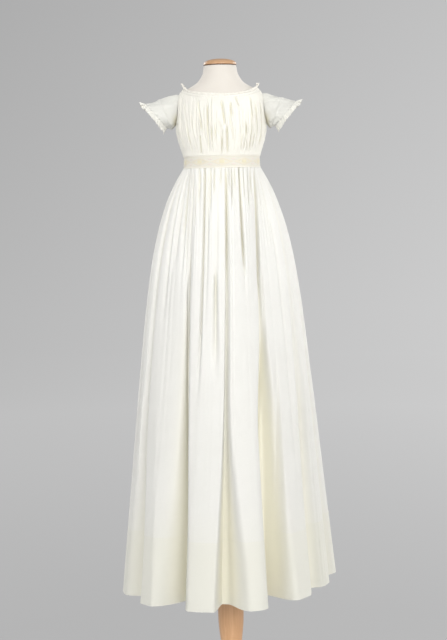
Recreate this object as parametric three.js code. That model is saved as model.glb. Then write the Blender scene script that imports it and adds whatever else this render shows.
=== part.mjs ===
// A long-skirted infant's gown of white cotton, on a limbless child's dress form and a turned wooden stand.
// Millimetres, +Z up. X = 0 and Y = 0 lie on the stand's axis, Z = 0 is the floor, and the front faces -Y.
// Angles go counterclockwise seen from above: 0 is +X (the gown's left side), 90 the back, 270 the front.
import * as THREE from "three";

// ---- Driving dimensions ---------------------------------------------------------------------------------
const HEM_Z = 249;
const WAIST_Z = 1062; // lower edge of the waistband
const BAND_HEIGHT = 24;
const SEAM_GAP = 0.3; // between pieces that are sewn or seated together
const DEEP_HEM = 126; // height of cloth turned up inside the hem

const CLOTH = 1.4; // wall of one layer of gathered cloth
const DOUBLE_CLOTH = 2.4; // wall where the deep hem doubles it
const FRILL_WALL = 1.1;

const BODICE_EASE = 4.6; // the bodice's outer face above the form, where it hangs free
const SHOULDER_EASE = 2.8; // the same on the shoulders, which carry the gown
const SHOULDERS = { z: 1172, over: 30 }; // where the cloth begins to rest on the shoulders, and how gradually
const SKIRT_EASE = 5.4; // the skirt's outer face above the form at the waist
const BAND_EASE = 4.2;
const BAND_WALL = 2.2;
const CASING_WIDTH = 5;
const CASING_ROUND = 0.4; // how far the casing rounds out over its drawstring
const CASING_DROP = { shoulder: 0.62, middle: 0.95 }; // how far its width reaches down, where the form slopes
const BODICE_FOOT_Z = WAIST_Z + BAND_HEIGHT + SEAM_GAP;
const SEAM_ANGLE = 0.17; // degrees from a seam to the cloth's edge
const BACK_OPENING = [90.2, 449.8]; // where a trimming starts and ends, round from the opening

const NECK_SHOULDER_Z = 1212;
const NECK_FRONT_DROP = 15;
const NECK_BACK_DROP = 9;
const ARMHOLE = { bottom: 1146, top: 1203, frontAngle: 20, backAngle: 18 };

// Level sections of the dress form: half its width at the sides, and its depth in front and behind the axis.
const FORM_SECTIONS = [
  { z: 935, side: 60, front: 44, back: 45 },
  { z: 939, side: 69, front: 51, back: 52 },
  { z: 948, side: 75, front: 55, back: 56 },
  { z: 975, side: 79, front: 57, back: 59 },
  { z: 1005, side: 79, front: 57, back: 58 },
  { z: 1035, side: 73, front: 53, back: 51 },
  { z: 1062, side: 69, front: 51, back: 46 },
  { z: 1084, side: 68.5, front: 51, back: 45.5 },
  { z: 1104, side: 73, front: 55, back: 48 },
  { z: 1122, side: 78.5, front: 58.5, back: 51.5 },
  { z: 1140, side: 82, front: 60.5, back: 54 },
  { z: 1162, side: 82.5, front: 59.5, back: 56 },
  { z: 1182, side: 81.5, front: 54.5, back: 55 },
  { z: 1196, side: 79, front: 48, back: 52 },
  { z: 1205, side: 75, front: 43.5, back: 48.5 },
  { z: 1211, side: 69.5, front: 40.5, back: 45 },
  { z: 1217, side: 58, front: 37.5, back: 41 },
  { z: 1225, side: 45, front: 34.5, back: 36.5 },
  { z: 1233, side: 38.5, front: 32.5, back: 33 },
  { z: 1243, side: 33.5, front: 31, back: 31 },
  { z: 1257, side: 31, front: 30, back: 30 },
];

// The skirt's large folds, one row for each valley: its angle at the waist and at the hem, its depth at the
// hem, the share of the fold before and after it over which it opens, and how far down the small gathers between
// it and the next valley reach, as shares of the skirt's length.
const SKIRT_VALLEYS = [
  { waist: 180, hem: 176, depth: 22, before: 0.4, after: 0.4, gathers: [0.12, 0.24, 0.14] },
  { waist: 200, hem: 208, depth: 42, before: 0.4, after: 0.35, gathers: [0.1, 0.2, 0.3] },
  { waist: 220, hem: 236, depth: 66, before: 0.28, after: 0.55, gathers: [0.46, 0.14, 0.42] },
  { waist: 276, hem: 265, depth: 62, before: 0.25, after: 0.3, gathers: [0.3, 0.14, 0.2] },
  { waist: 321, hem: 301, depth: 66, before: 0.45, after: 0.35, gathers: [0.16, 0.26, 0.12] },
  { waist: 345, hem: 342, depth: 22, before: 0.4, after: 0.4, gathers: [0.14, 0.26, 0.18] },
  { waist: 370, hem: 373, depth: 30, before: 0.45, after: 0.35, gathers: [0.12, 0.3, 0.16] },
  { waist: 395, hem: 399, depth: 48, before: 0.35, after: 0.5, gathers: [0.26, 0.12, 0.2] },
  { waist: 423, hem: 424, depth: 62, before: 0.5, after: 0.3, gathers: [0.14, 0.36, 0.12] },
  { waist: 450, hem: 449, depth: 70, before: 0.3, after: 0.5, gathers: [0.28, 0.12, 0.24] },
  { waist: 477, hem: 473, depth: 58, before: 0.5, after: 0.35, gathers: [0.12, 0.38, 0.16] },
  { waist: 501, hem: 497, depth: 62, before: 0.35, after: 0.4, gathers: [0.24, 0.12, 0.3] },
  { waist: 521, hem: 519, depth: 44, before: 0.45, after: 0.4, gathers: [0.3, 0.14, 0.2] },
];
const GATHERS_PER_FOLD = 4;
const VALLEY_GATHER_REACH = 0.3; // how far down the gather on a large fold's own line reaches
const GATHER_DEPTH = { waist: 1.9, perLength: 24 };
const DEPTH_POWER = 0.75; // how fast a large fold deepens down the skirt
const FOLD_ROUNDING = 1e-9; // keeps a fold number that is whole on the side where its fold starts
const RIGHT_SEAM = 5.5; // the side seam on +X, in folds after the first valley, which is the other seam
const BLOOM = { share: 0.4, length: 0.11 }; // how fast the skirt springs out under the band
const SKIRT_SEAM = 0.005; // from the seam to the cloth's edge, in folds
const SKIRT_COLUMNS_PER_FOLD = 8;
const SKIRT_LEVELS = [0.34, 0.52, 0.68, 0.8, 0.89, 0.95, 1]; // rows above the hem, as shares of the length
const HEM_STEP = 0.97; // the row just under the deep hem's sewn edge, as a share of the hem's height
const WALL_TURNS = { from: 0.12, over: 0.4 }; // where the wall turns from level to square to the cloth
const HANG = { power: 1.4, from: 0.5, over: 0.45 }; // the middle hangs straighter than the sides

// The line that the folds' crests follow round the hem.
const HEM_CRESTS = [
  { angle: 165, radius: 203 },
  { angle: 190, radius: 211 },
  { angle: 222, radius: 214 },
  { angle: 256, radius: 210 },
  { angle: 283, radius: 207 },
  { angle: 306, radius: 188 },
  { angle: 325, radius: 180 },
  { angle: 352, radius: 187 },
  { angle: 370, radius: 208 },
  { angle: 385, radius: 236 },
  { angle: 400, radius: 278 },
  { angle: 420, radius: 296 },
  { angle: 450, radius: 286 },
  { angle: 480, radius: 262 },
  { angle: 505, radius: 226 },
  { angle: 525, radius: 203 },
];

const FRONT_GATHERS = 18;
const BACK_GATHERS = 7; // on each half
const COLUMNS_PER_GATHER = 3;
const BODICE_GATHER_DEPTH = 2.4;
const GATHERS_EDGE = 0.7; // the share of their depth that the gathers keep at the bodice's edges
const GATHERS_SETTLE = { z: 1188, over: 14, share: 0.25 }; // where they flatten, and what is left of them
const BODICE_LEVELS = [0, 0.15, 0.31, 0.47, 0.62, 0.76, 0.87, 0.95, 1]; // its rows, as shares of its height
const BLOUSE = { z: 1110, lift: 1.4, reach: 26 }; // the fullness that hangs over the band

// The cuff's seam, an oval between these two points of the sleeve's outline, and half its depth.
const CUFF = { topX: 143, topZ: 1191, bottomX: 104, bottomZ: 1141, halfDepth: 32, middleY: -2 };
// How far the sleeve stands off the armhole's edge, in degrees, and its fullness.
const SLEEVE = { clearFront: 1.6, clearBack: 1, puff: 5, gathers: 18, gatherDepth: 1.1 };
const PUFF_TURN = { middle: 0.65, swing: 0.35, lean: 0.7 }; // fullness at mid height, its change, its place
const HEAD = { rise: 0.12, fall: 0.8 }; // shares of the sleeve over which the gathers of its head come and go
const SLEEVE_MIDDLE = { armholeX: 80, cuffX: 123.5, cuffZ: 1166 };
const SLEEVE_LEVELS = [0, 0.1, 0.3, 0.55, 0.8, 1];
const SLEEVE_COLUMNS = 28;
const SLEEVE_FRILL = { gap: 0.5, width: 10, flare: 0.5, waves: 13, swing: 1.7, columnsPerWave: 4 };
const NECK_FRILL = { height: 8, lean: 0.35, waves: 26, swing: 1.5, columnsPerWave: 3 };
const CASING_COLUMNS = 60;
const BAND_MOTIFS = 10; // lozenges round the waistband
const BAND_RELIEF = 0.8;
// Shares of half the band's height: how high a lozenge is and how its face slopes, and where the cord lies.
const LOZENGE = { height: 0.62, slope: 0.35 };
const BAND_CORD = { low: 0.76, rise: 0.1, high: 1.06, fall: 0.12 };
const BAND_LEVELS = [0, 0.1, 0.22, 0.5, 0.78, 0.9, 1];
const COLUMNS_PER_MOTIF = 6;

const CAP = { radius: 31.5, height: 13, foot: 3, round: 0.8, sides: 24 };
const BASE = { radius: 165, height: 24, edge: 5, sides: 36 };
const POLE_SIDES = 20;
const FORM_SIDES = 30;
const POLE_SECTIONS = [
  { z: 0, radius: 34 },
  { z: 8, radius: 34 },
  { z: 16, radius: 21 },
  { z: 60, radius: 16 },
  { z: 160, radius: 25 },
  { z: 330, radius: 27 },
  { z: 640, radius: 23 },
  { z: 890, radius: 21 },
];
const BUTTON = { radius: 4.5, topShare: 0.85, height: 2.2, sides: 14, levels: [4, 7] };
const PLACKET = { width: 11, wall: 1.2, columns: 4 };

// ---- Curves ---------------------------------------------------------------------------------------------
const radians = THREE.MathUtils.degToRad;
const mix = THREE.MathUtils.lerp;
const smooth = (x) => THREE.MathUtils.smoothstep(x, 0, 1);

// A smooth curve through one column of a table, which never swings past its rows.
function alongTable(rows, from, column, at) {
  const last = rows.length - 1;
  const x = THREE.MathUtils.clamp(at, rows[0][from], rows[last][from]);
  let k = 0;
  while (k < last - 1 && x > rows[k + 1][from]) k++;
  const slope = (i) => (rows[i + 1][column] - rows[i][column]) / (rows[i + 1][from] - rows[i][from]);
  const tangent = (i) => {
    if (i === 0) return slope(0);
    if (i === last) return slope(last - 1);
    const [a, b] = [slope(i - 1), slope(i)];
    return a * b <= 0 ? 0 : (2 * a * b) / (a + b);
  };
  const width = rows[k + 1][from] - rows[k][from];
  const t = (x - rows[k][from]) / width;
  const [p, q] = [rows[k][column], rows[k + 1][column]];
  return (
    p * (1 + 2 * t) * (1 - t) ** 2 +
    q * t * t * (3 - 2 * t) +
    width * (tangent(k) * t * (1 - t) ** 2 - tangent(k + 1) * t * t * (1 - t))
  );
}

function formPoint(angle, z) {
  const a = radians(angle);
  const depth = Math.sin(a) < 0 ? "front" : "back";
  return new THREE.Vector3(
    alongTable(FORM_SECTIONS, "z", "side", z) * Math.cos(a),
    alongTable(FORM_SECTIONS, "z", depth, z) * Math.sin(a),
    z,
  );
}

function formNormal(angle, z) {
  const step = 0.5;
  const around = formPoint(angle + step, z).sub(formPoint(angle - step, z));
  const up = formPoint(angle, z + step).sub(formPoint(angle, z - step));
  return around.cross(up).normalize();
}

// A place on cloth that lies on the form: its outer point, and the way to the wall's inner face.
function onForm(angle, z, lift, wall) {
  const out = formNormal(angle, z);
  return { at: formPoint(angle, z).addScaledVector(out, lift), out, wall };
}

// ---- Solids ---------------------------------------------------------------------------------------------
// A closed wall from a grid of places. Columns run counterclockwise and rows run up, seen from outside.
function wallGeometry(grid, closed = false) {
  const [rows, columns] = [grid.length, grid[0].length];
  const outer = grid.flat().map((place) => place.at);
  const inner = grid.flat().map((place) => place.at.clone().addScaledVector(place.out, -place.wall));
  const corner = (row, column, side) => side * rows * columns + row * columns + (column % columns);
  const faces = [];
  const quad = (a, b, c, d) => faces.push(a, b, c, a, c, d);
  const spans = closed ? columns : columns - 1;
  const top = rows - 1;
  for (let i = 0; i < spans; i++) {
    for (let j = 0; j < top; j++) {
      quad(corner(j, i, 0), corner(j, i + 1, 0), corner(j + 1, i + 1, 0), corner(j + 1, i, 0));
      quad(corner(j, i, 1), corner(j + 1, i, 1), corner(j + 1, i + 1, 1), corner(j, i + 1, 1));
    }
    quad(corner(0, i, 0), corner(0, i, 1), corner(0, i + 1, 1), corner(0, i + 1, 0));
    quad(corner(top, i, 0), corner(top, i + 1, 0), corner(top, i + 1, 1), corner(top, i, 1));
  }
  for (let j = 0; j < top && !closed; j++) {
    quad(corner(j, 0, 0), corner(j + 1, 0, 0), corner(j + 1, 0, 1), corner(j, 0, 1));
    quad(corner(j, spans, 0), corner(j, spans, 1), corner(j + 1, spans, 1), corner(j + 1, spans, 0));
  }
  const geometry = new THREE.BufferGeometry().setFromPoints([...outer, ...inner]);
  geometry.setIndex(faces);
  geometry.computeVertexNormals();
  return geometry;
}

// Calls place(u, v) over a grid; levels are the rows' shares from 0, the lower edge, to 1.
function gridOf(columns, levels, place) {
  return levels.map((v) => Array.from({ length: columns + 1 }, (_, i) => place(i / columns, v)));
}

// A solid of revolution from a table of heights and radii, closed on its axis.
function turned(sections, sides) {
  const profile = [
    new THREE.Vector2(0, sections[0].z),
    ...sections.map((s) => new THREE.Vector2(s.radius, s.z)),
    new THREE.Vector2(0, sections[sections.length - 1].z),
  ];
  return new THREE.LatheGeometry(profile, sides).rotateX(Math.PI / 2);
}

// ---- Materials ------------------------------------------------------------------------------------------
const cotton = new THREE.MeshStandardMaterial({ color: 0xf3f2ea, roughness: 0.9 });
const trimming = new THREE.MeshStandardMaterial({ color: 0xf4efdf, roughness: 0.88 });
const cover = new THREE.MeshStandardMaterial({ color: 0xf3ebdc, roughness: 0.85 });
const wood = new THREE.MeshStandardMaterial({ color: 0xc3936b, roughness: 0.45 });

const gown = new THREE.Group();

function add(name, geometry, material) {
  const mesh = new THREE.Mesh(geometry, material);
  mesh.name = name;
  gown.add(mesh);
  return mesh;
}

// ---- The dress form and its stand -----------------------------------------------------------------------
function formGeometry() {
  const sides = FORM_SIDES;
  const levels = [...FORM_SECTIONS.keys()];
  const points = levels.flatMap((k) =>
    Array.from({ length: sides }, (_, i) => formPoint((360 * i) / sides, FORM_SECTIONS[k].z)),
  );
  const [bottom, top] = [points.length, points.length + 1];
  const last = levels.length - 1;
  points.push(new THREE.Vector3(0, 0, FORM_SECTIONS[0].z), new THREE.Vector3(0, 0, FORM_SECTIONS[last].z));
  const faces = [];
  for (let i = 0; i < sides; i++) {
    const next = (i + 1) % sides;
    for (let k = 0; k < last; k++) {
      const [a, b] = [k * sides + i, k * sides + next];
      faces.push(a, b, b + sides, a, b + sides, a + sides);
    }
    faces.push(bottom, next, i, top, last * sides + i, last * sides + next);
  }
  const geometry = new THREE.BufferGeometry().setFromPoints(points).setIndex(faces);
  geometry.computeVertexNormals();
  return geometry;
}

function addFormAndStand() {
  const neckTop = FORM_SECTIONS[FORM_SECTIONS.length - 1].z;
  const capRise = (share) => ({
    z: CAP.foot + (CAP.height - CAP.foot) * Math.sin((share * Math.PI) / 2),
    radius: CAP.radius * Math.cos((share * Math.PI) / 2) ** CAP.round,
  });
  const cap = [{ z: 0, radius: CAP.radius }, ...[0, 0.2, 0.4, 0.6, 0.8].map(capRise)];
  const base = [
    { z: 0, radius: BASE.radius },
    { z: BASE.height - BASE.edge, radius: BASE.radius },
    { z: BASE.height, radius: BASE.radius - BASE.edge },
  ];
  const poleTop = FORM_SECTIONS[0].z - BASE.height - 2 * SEAM_GAP;
  const pole = POLE_SECTIONS.concat({ z: poleTop, radius: POLE_SECTIONS[POLE_SECTIONS.length - 1].radius });
  add("form_body", formGeometry(), cover);
  add("form_neck_cap", turned(cap, CAP.sides), wood).position.z = neckTop + SEAM_GAP;
  add("stand_pole", turned(pole, POLE_SIDES), wood).position.z = BASE.height + SEAM_GAP;
  add("stand_base", turned(base, BASE.sides), wood);
}

// ---- The bodice -----------------------------------------------------------------------------------------
function necklineZ(angle) {
  const s = Math.sin(radians(angle));
  return NECK_SHOULDER_Z - (s < 0 ? NECK_FRONT_DROP : NECK_BACK_DROP) * Math.abs(s) ** 1.5;
}

// How far the casing reaches down from the neckline: less on the shoulders, which lie nearly level.
function casingDrop(angle) {
  return CASING_WIDTH * mix(CASING_DROP.shoulder, CASING_DROP.middle, Math.abs(Math.sin(radians(angle))));
}

function bodiceTopZ(angle) {
  return necklineZ(angle) - casingDrop(angle) - SEAM_GAP;
}

function easeAt(z) {
  const blouse = BLOUSE.lift * Math.exp(-(((z - BLOUSE.z) / BLOUSE.reach) ** 2));
  return mix(BODICE_EASE, SHOULDER_EASE, smooth((z - SHOULDERS.z) / SHOULDERS.over)) + blouse;
}

// How far the armhole's edge stands in from the side, in degrees, at a height on the form.
function armholeInset(z, sideAngle) {
  const middle = (ARMHOLE.bottom + ARMHOLE.top) / 2;
  const q = (z - middle) / (ARMHOLE.top - middle);
  return Math.abs(q) >= 1 ? 0 : sideAngle * Math.sqrt(1 - q * q);
}

// Uneven gathers: 0 on a crest and 1 in a furrow, at a share u of a panel with that many gathers.
function gatherWave(u, count, seed) {
  const drift = 0.3 * Math.sin(5.1 * u + seed) + 0.18 * Math.sin(13.7 * u + 2 * seed);
  return 0.5 - 0.5 * Math.cos(2 * Math.PI * (count * u + drift));
}

// A gathered panel between two angles, from the waistband to the neck casing.
function bodicePanel(first, last, gathers, seed) {
  const armhole = Math.sin(radians((first + last) / 2)) < 0 ? ARMHOLE.frontAngle : ARMHOLE.backAngle;
  const inset = (z, edge) => {
    const onSide = Math.abs(Math.sin(radians(edge))) < 0.5;
    return SEAM_ANGLE + (onSide ? armholeInset(z, armhole) : 0);
  };
  const place = (u, v) => {
    const edgeZ = mix(BODICE_FOOT_Z, bodiceTopZ(0), v);
    const angle = mix(first + inset(edgeZ, first), last - inset(edgeZ, last), u);
    const z = mix(BODICE_FOOT_Z, bodiceTopZ(angle), v);
    const edges = smooth(u * gathers) * smooth((1 - u) * gathers);
    const settled = mix(1, GATHERS_SETTLE.share, smooth((z - GATHERS_SETTLE.z) / GATHERS_SETTLE.over));
    const loose = mix(GATHERS_EDGE, 1, Math.sin(Math.PI * v)) * settled;
    const furrow = BODICE_GATHER_DEPTH * edges * loose * gatherWave(u, gathers, seed + 1.5 * v);
    return onForm(angle, z, easeAt(z) - furrow, CLOTH);
  };
  return wallGeometry(gridOf(gathers * COLUMNS_PER_GATHER, BODICE_LEVELS, place));
}

function addBodice() {
  add("bodice_front", bodicePanel(180, 360, FRONT_GATHERS, 0.4), cotton);
  add("bodice_back_left", bodicePanel(0, 90, BACK_GATHERS, 1.9), cotton);
  add("bodice_back_right", bodicePanel(90, 180, BACK_GATHERS, 3.1), cotton);
}

function neckLift(z) {
  return (easeAt(z) + SHOULDER_EASE) / 2;
}

// The neck's casing and the frill on it run from one side of the back opening round to the other.
function addNeckTrimming() {
  const [first, last] = BACK_OPENING;
  const casing = (u, v) => {
    const angle = mix(first, last, u);
    const z = necklineZ(angle) - casingDrop(angle) * (1 - v);
    return onForm(angle, z, neckLift(z) + CASING_ROUND * Math.sin(Math.PI * v), CLOTH);
  };
  add("neck_casing", wallGeometry(gridOf(CASING_COLUMNS, [0, 1], casing)), trimming);

  const frill = (u, v) => {
    const angle = mix(first, last, u);
    const z = necklineZ(angle);
    const foot = onForm(angle, z, neckLift(z), CLOTH);
    const flat = foot.out.clone().setZ(0).normalize();
    const rise = new THREE.Vector3(0, 0, 1).addScaledVector(flat, NECK_FRILL.lean).normalize();
    const wave = NECK_FRILL.swing * v * Math.sin(2 * Math.PI * NECK_FRILL.waves * u);
    foot.at.addScaledVector(rise, SEAM_GAP + NECK_FRILL.height * v).addScaledVector(flat, wave);
    return { at: foot.at, out: flat, wall: FRILL_WALL };
  };
  const frillColumns = NECK_FRILL.waves * NECK_FRILL.columnsPerWave;
  add("neck_frill", wallGeometry(gridOf(frillColumns, [0, 1], frill)), trimming);
}

// ---- The waistband --------------------------------------------------------------------------------------
// Raised lozenges linked in a chain between two corded edges.
function bandRelief(turns, v) {
  const along = Math.abs((((turns * BAND_MOTIFS) % 1) + 1) % 1 - 0.5) * 2;
  const across = Math.abs(v - 0.5) * 2;
  const lozenge = smooth((1 - along - across / LOZENGE.height) / LOZENGE.slope);
  const rise = smooth((across - BAND_CORD.low) / BAND_CORD.rise);
  const cord = rise * smooth((BAND_CORD.high - across) / BAND_CORD.fall);
  return BAND_RELIEF * Math.max(lozenge, cord);
}

function addWaistband() {
  const [first, last] = BACK_OPENING;
  const place = (u, v) => {
    const angle = mix(first, last, u);
    const z = WAIST_Z + BAND_HEIGHT * v;
    const relief = bandRelief(angle / 360, v);
    return onForm(angle, z, BAND_EASE + relief, BAND_WALL + relief);
  };
  add("waistband", wallGeometry(gridOf(BAND_MOTIFS * COLUMNS_PER_MOTIF, BAND_LEVELS, place)), trimming);
}

// ---- The skirt ------------------------------------------------------------------------------------------
// The skirt's cloth is numbered in folds: 2.3 is three tenths of the way from the third valley to the fourth.
function valleyAt(index) {
  const count = SKIRT_VALLEYS.length;
  const turn = 360 * Math.floor(index / count);
  const row = SKIRT_VALLEYS[((index % count) + count) % count];
  return { ...row, waist: row.waist + turn, hem: row.hem + turn };
}

function crestRadius(angle) {
  const first = HEM_CRESTS[0].angle;
  const wrapped = ((((angle - first) % 360) + 360) % 360) + first;
  return alongTable(HEM_CRESTS, "angle", "radius", wrapped);
}

const opening = (x) => (x >= 1 ? 0 : 0.5 + 0.5 * Math.cos(Math.PI * x));

// How far the cloth lies in from the crest line: the two valleys beside it, and the small gathers.
function foldDepth(fold, share) {
  const index = Math.floor(fold + FOLD_ROUNDING);
  const p = fold - index;
  const [here, next] = [valleyAt(index), valleyAt(index + 1)];
  const reach = share ** DEPTH_POWER;
  const large = here.depth * opening(p / here.after) + next.depth * opening((1 - p) / next.before);
  const depth = GATHER_DEPTH.waist + GATHER_DEPTH.perLength * share;
  const nearest = Math.round(p * GATHERS_PER_FOLD);
  const edge = nearest === 0 || nearest === GATHERS_PER_FOLD;
  const fade = edge ? VALLEY_GATHER_REACH : here.gathers[nearest - 1];
  const small = depth * opening(Math.abs(p * GATHERS_PER_FOLD - nearest) * 2) * (1 - smooth(share / fade));
  return large * reach + small;
}

function skirtPoint(fold, share) {
  const index = Math.floor(fold + FOLD_ROUNDING);
  const p = fold - index;
  const [here, next] = [valleyAt(index), valleyAt(index + 1)];
  const waistAngle = mix(here.waist, next.waist, p);
  const hemAngle = radians(mix(here.hem, next.hem, p));
  const waist = onForm(waistAngle, WAIST_Z, SKIRT_EASE, CLOTH).at;
  const hem = new THREE.Vector3(Math.cos(hemAngle), Math.sin(hemAngle), 0).multiplyScalar(
    crestRadius(THREE.MathUtils.radToDeg(hemAngle)),
  );
  const spread = BLOOM.share * (1 - Math.exp(-share / BLOOM.length)) + (1 - BLOOM.share) * share;
  const aside = smooth((Math.abs(Math.cos(hemAngle)) - HANG.from) / HANG.over);
  const point = waist.clone().setZ(0).lerp(hem, spread);
  point.x = mix(waist.x, hem.x, mix(share ** HANG.power, spread, aside));
  const inward = point.clone().normalize();
  point.addScaledVector(inward, -foldDepth(fold, share));
  return point.setZ(mix(WAIST_Z - SEAM_GAP, HEM_Z, share));
}

function skirtPlace(fold, share) {
  const step = 0.04;
  const around = skirtPoint(fold + step, share).sub(skirtPoint(fold - step, share));
  const up = skirtPoint(fold, Math.max(0, share - step)).sub(skirtPoint(fold, Math.min(1, share + step)));
  const at = skirtPoint(fold, share);
  const level = at.clone().setZ(0).normalize();
  const turned = smooth((share - WALL_TURNS.from) / WALL_TURNS.over);
  const out = level.lerp(around.cross(up).normalize(), turned).normalize();
  const wall = share > 1 - DEEP_HEM / (WAIST_Z - HEM_Z) ? DOUBLE_CLOTH : CLOTH;
  return { at, out, wall };
}

function addSkirt() {
  const hemLine = DEEP_HEM / (WAIST_Z - HEM_Z);
  const levels = [0, HEM_STEP * hemLine, hemLine, ...SKIRT_LEVELS];
  const halves = { skirt_front: [0, RIGHT_SEAM], skirt_back: [RIGHT_SEAM, SKIRT_VALLEYS.length] };
  for (const [name, [first, last]] of Object.entries(halves)) {
    const columns = Math.round((last - first) * SKIRT_COLUMNS_PER_FOLD);
    const place = (u, v) => skirtPlace(mix(first + SKIRT_SEAM, last - SKIRT_SEAM, u), 1 - v);
    add(name, wallGeometry(gridOf(columns, levels, place)), cotton);
  }
}

// ---- The sleeves ----------------------------------------------------------------------------------------
// A point of the sleeve on side +1 or -1: turn goes round from the back over the top, share out to the cuff.
function sleevePoint(side, turn, share) {
  const a = 2 * Math.PI * turn;
  const [across, along] = [Math.cos(a), Math.sin(a)];
  const middleZ = (ARMHOLE.top + ARMHOLE.bottom) / 2;
  const z = middleZ + (ARMHOLE.top - middleZ - 3 * SEAM_GAP) * along;
  const limit = across > 0 ? ARMHOLE.backAngle - SLEEVE.clearBack : ARMHOLE.frontAngle - SLEEVE.clearFront;
  const armhole = onForm(limit * across, z, easeAt(z), CLOTH).at;
  const cuff = new THREE.Vector3(
    mix(CUFF.bottomX, CUFF.topX, (along + 1) / 2),
    CUFF.middleY + CUFF.halfDepth * across,
    mix(CUFF.bottomZ, CUFF.topZ, (along + 1) / 2),
  );
  const point = armhole.lerp(cuff, share);
  const centre = new THREE.Vector3(
    mix(SLEEVE_MIDDLE.armholeX, SLEEVE_MIDDLE.cuffX, share),
    0,
    mix(middleZ, SLEEVE_MIDDLE.cuffZ, share),
  );
  const away = point.clone().sub(centre).normalize();
  const height = PUFF_TURN.middle + PUFF_TURN.swing * along;
  const full = SLEEVE.puff * Math.sin(Math.PI * share ** PUFF_TURN.lean) * height;
  const head = Math.max(0, along) * (1 - smooth(share / HEAD.fall)) * smooth(share / HEAD.rise);
  const gather = SLEEVE.gatherDepth * head * Math.sin(2 * Math.PI * SLEEVE.gathers * turn);
  point.addScaledVector(away, full + gather);
  return point.setX(side * point.x);
}

function sleevePlace(side, turn, share) {
  const step = 0.01;
  const around = sleevePoint(side, turn + step, share).sub(sleevePoint(side, turn - step, share));
  const [low, high] = [Math.max(0, share - step), Math.min(1, share + step)];
  const up = sleevePoint(side, turn, high).sub(sleevePoint(side, turn, low));
  const out = around.cross(up).multiplyScalar(side).normalize();
  return { at: sleevePoint(side, turn, share), out, wall: CLOTH };
}

// A ring of places, open where its last column would repeat the first.
function ringOf(columns, levels, side, place) {
  return levels.map((v) =>
    Array.from({ length: columns }, (_, i) => place(side > 0 ? i / columns : 1 - i / columns, v)),
  );
}

function addSleeve(side, name) {
  const sleeve = ringOf(SLEEVE_COLUMNS, SLEEVE_LEVELS, side, (turn, share) => sleevePlace(side, turn, share));
  add(`sleeve_${name}`, wallGeometry(sleeve, true), cotton);

  const outward = new THREE.Vector3(CUFF.topZ - CUFF.bottomZ, 0, CUFF.bottomX - CUFF.topX).normalize();
  outward.x *= side;
  const frill = (turn, v) => {
    const edge = sleevePlace(side, turn, 1);
    const run = outward.clone().addScaledVector(edge.out, SLEEVE_FRILL.flare).normalize();
    const wave = SLEEVE_FRILL.swing * v * Math.sin(2 * Math.PI * SLEEVE_FRILL.waves * turn);
    edge.at.addScaledVector(run, SLEEVE_FRILL.gap + SLEEVE_FRILL.width * v).addScaledVector(edge.out, wave);
    return { at: edge.at, out: edge.out, wall: FRILL_WALL };
  };
  add(
    `sleeve_frill_${name}`,
    wallGeometry(ringOf(SLEEVE_FRILL.waves * SLEEVE_FRILL.columnsPerWave, [0, 1], side, frill), true),
    trimming,
  );
}

// ---- The closing at the back ----------------------------------------------------------------------------
function addBackClosing() {
  const top = bodiceTopZ(90);
  const lift = (z) => easeAt(z) + SEAM_GAP + PLACKET.wall;
  const halfWidth = (z) => alongTable(FORM_SECTIONS, "z", "side", z);
  const reach = (z) => THREE.MathUtils.radToDeg(PLACKET.width / 2 / halfWidth(z));
  const strip = (u, v) => {
    const z = mix(BODICE_FOOT_Z, top, v);
    return onForm(90 + mix(-1, 1, u) * reach(z), z, lift(z), PLACKET.wall);
  };
  add("back_placket", wallGeometry(gridOf(PLACKET.columns, BODICE_LEVELS, strip)), cotton);

  const [middle, neck] = BUTTON.levels.map((row) => mix(BODICE_FOOT_Z, top, BODICE_LEVELS[row]));
  const seats = [
    { name: "button_waist", z: WAIST_Z + BAND_HEIGHT / 2, lift: BAND_EASE + BAND_RELIEF },
    { name: "button_middle", z: middle, lift: lift(middle) },
    { name: "button_neck", z: neck, lift: lift(neck) },
  ];
  for (const seat of seats) {
    const geometry = new THREE.CylinderGeometry(
      BUTTON.radius * BUTTON.topShare,
      BUTTON.radius,
      BUTTON.height,
      BUTTON.sides,
    );
    const button = add(seat.name, geometry, trimming);
    const place = onForm(90, seat.z, seat.lift + SEAM_GAP + BUTTON.height / 2, 0);
    button.position.copy(place.at);
    button.quaternion.setFromUnitVectors(new THREE.Vector3(0, 1, 0), place.out);
  }
}

addFormAndStand();
addBodice();
addNeckTrimming();
addWaistband();
addSkirt();
addSleeve(1, "left");
addSleeve(-1, "right");
addBackClosing();

export default gown;
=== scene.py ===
"""A long-skirted infant's gown of white cotton, on a limbless child's dress form and a turned wooden stand.

The tables and the shapes are in millimetres and degrees, in the frame of the solids: +Z up, the gown's front
towards -Y, its left side towards +X. Angles go counterclockwise seen from above, 270 being the front.
"""
import math

import bpy
import numpy as np
from mathutils import Matrix, Vector


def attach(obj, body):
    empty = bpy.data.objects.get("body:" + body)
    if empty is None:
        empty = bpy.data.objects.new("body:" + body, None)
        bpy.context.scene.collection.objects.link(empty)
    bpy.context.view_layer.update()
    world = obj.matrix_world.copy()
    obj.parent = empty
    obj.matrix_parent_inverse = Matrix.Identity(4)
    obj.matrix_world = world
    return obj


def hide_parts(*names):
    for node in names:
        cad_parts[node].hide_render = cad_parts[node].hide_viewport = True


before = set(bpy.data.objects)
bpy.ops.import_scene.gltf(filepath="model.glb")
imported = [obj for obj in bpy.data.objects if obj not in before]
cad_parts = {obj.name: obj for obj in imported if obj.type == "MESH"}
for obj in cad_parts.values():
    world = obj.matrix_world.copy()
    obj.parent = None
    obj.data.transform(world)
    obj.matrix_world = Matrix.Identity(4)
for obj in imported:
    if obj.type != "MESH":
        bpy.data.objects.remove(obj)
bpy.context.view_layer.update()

MM = 0.001

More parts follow.
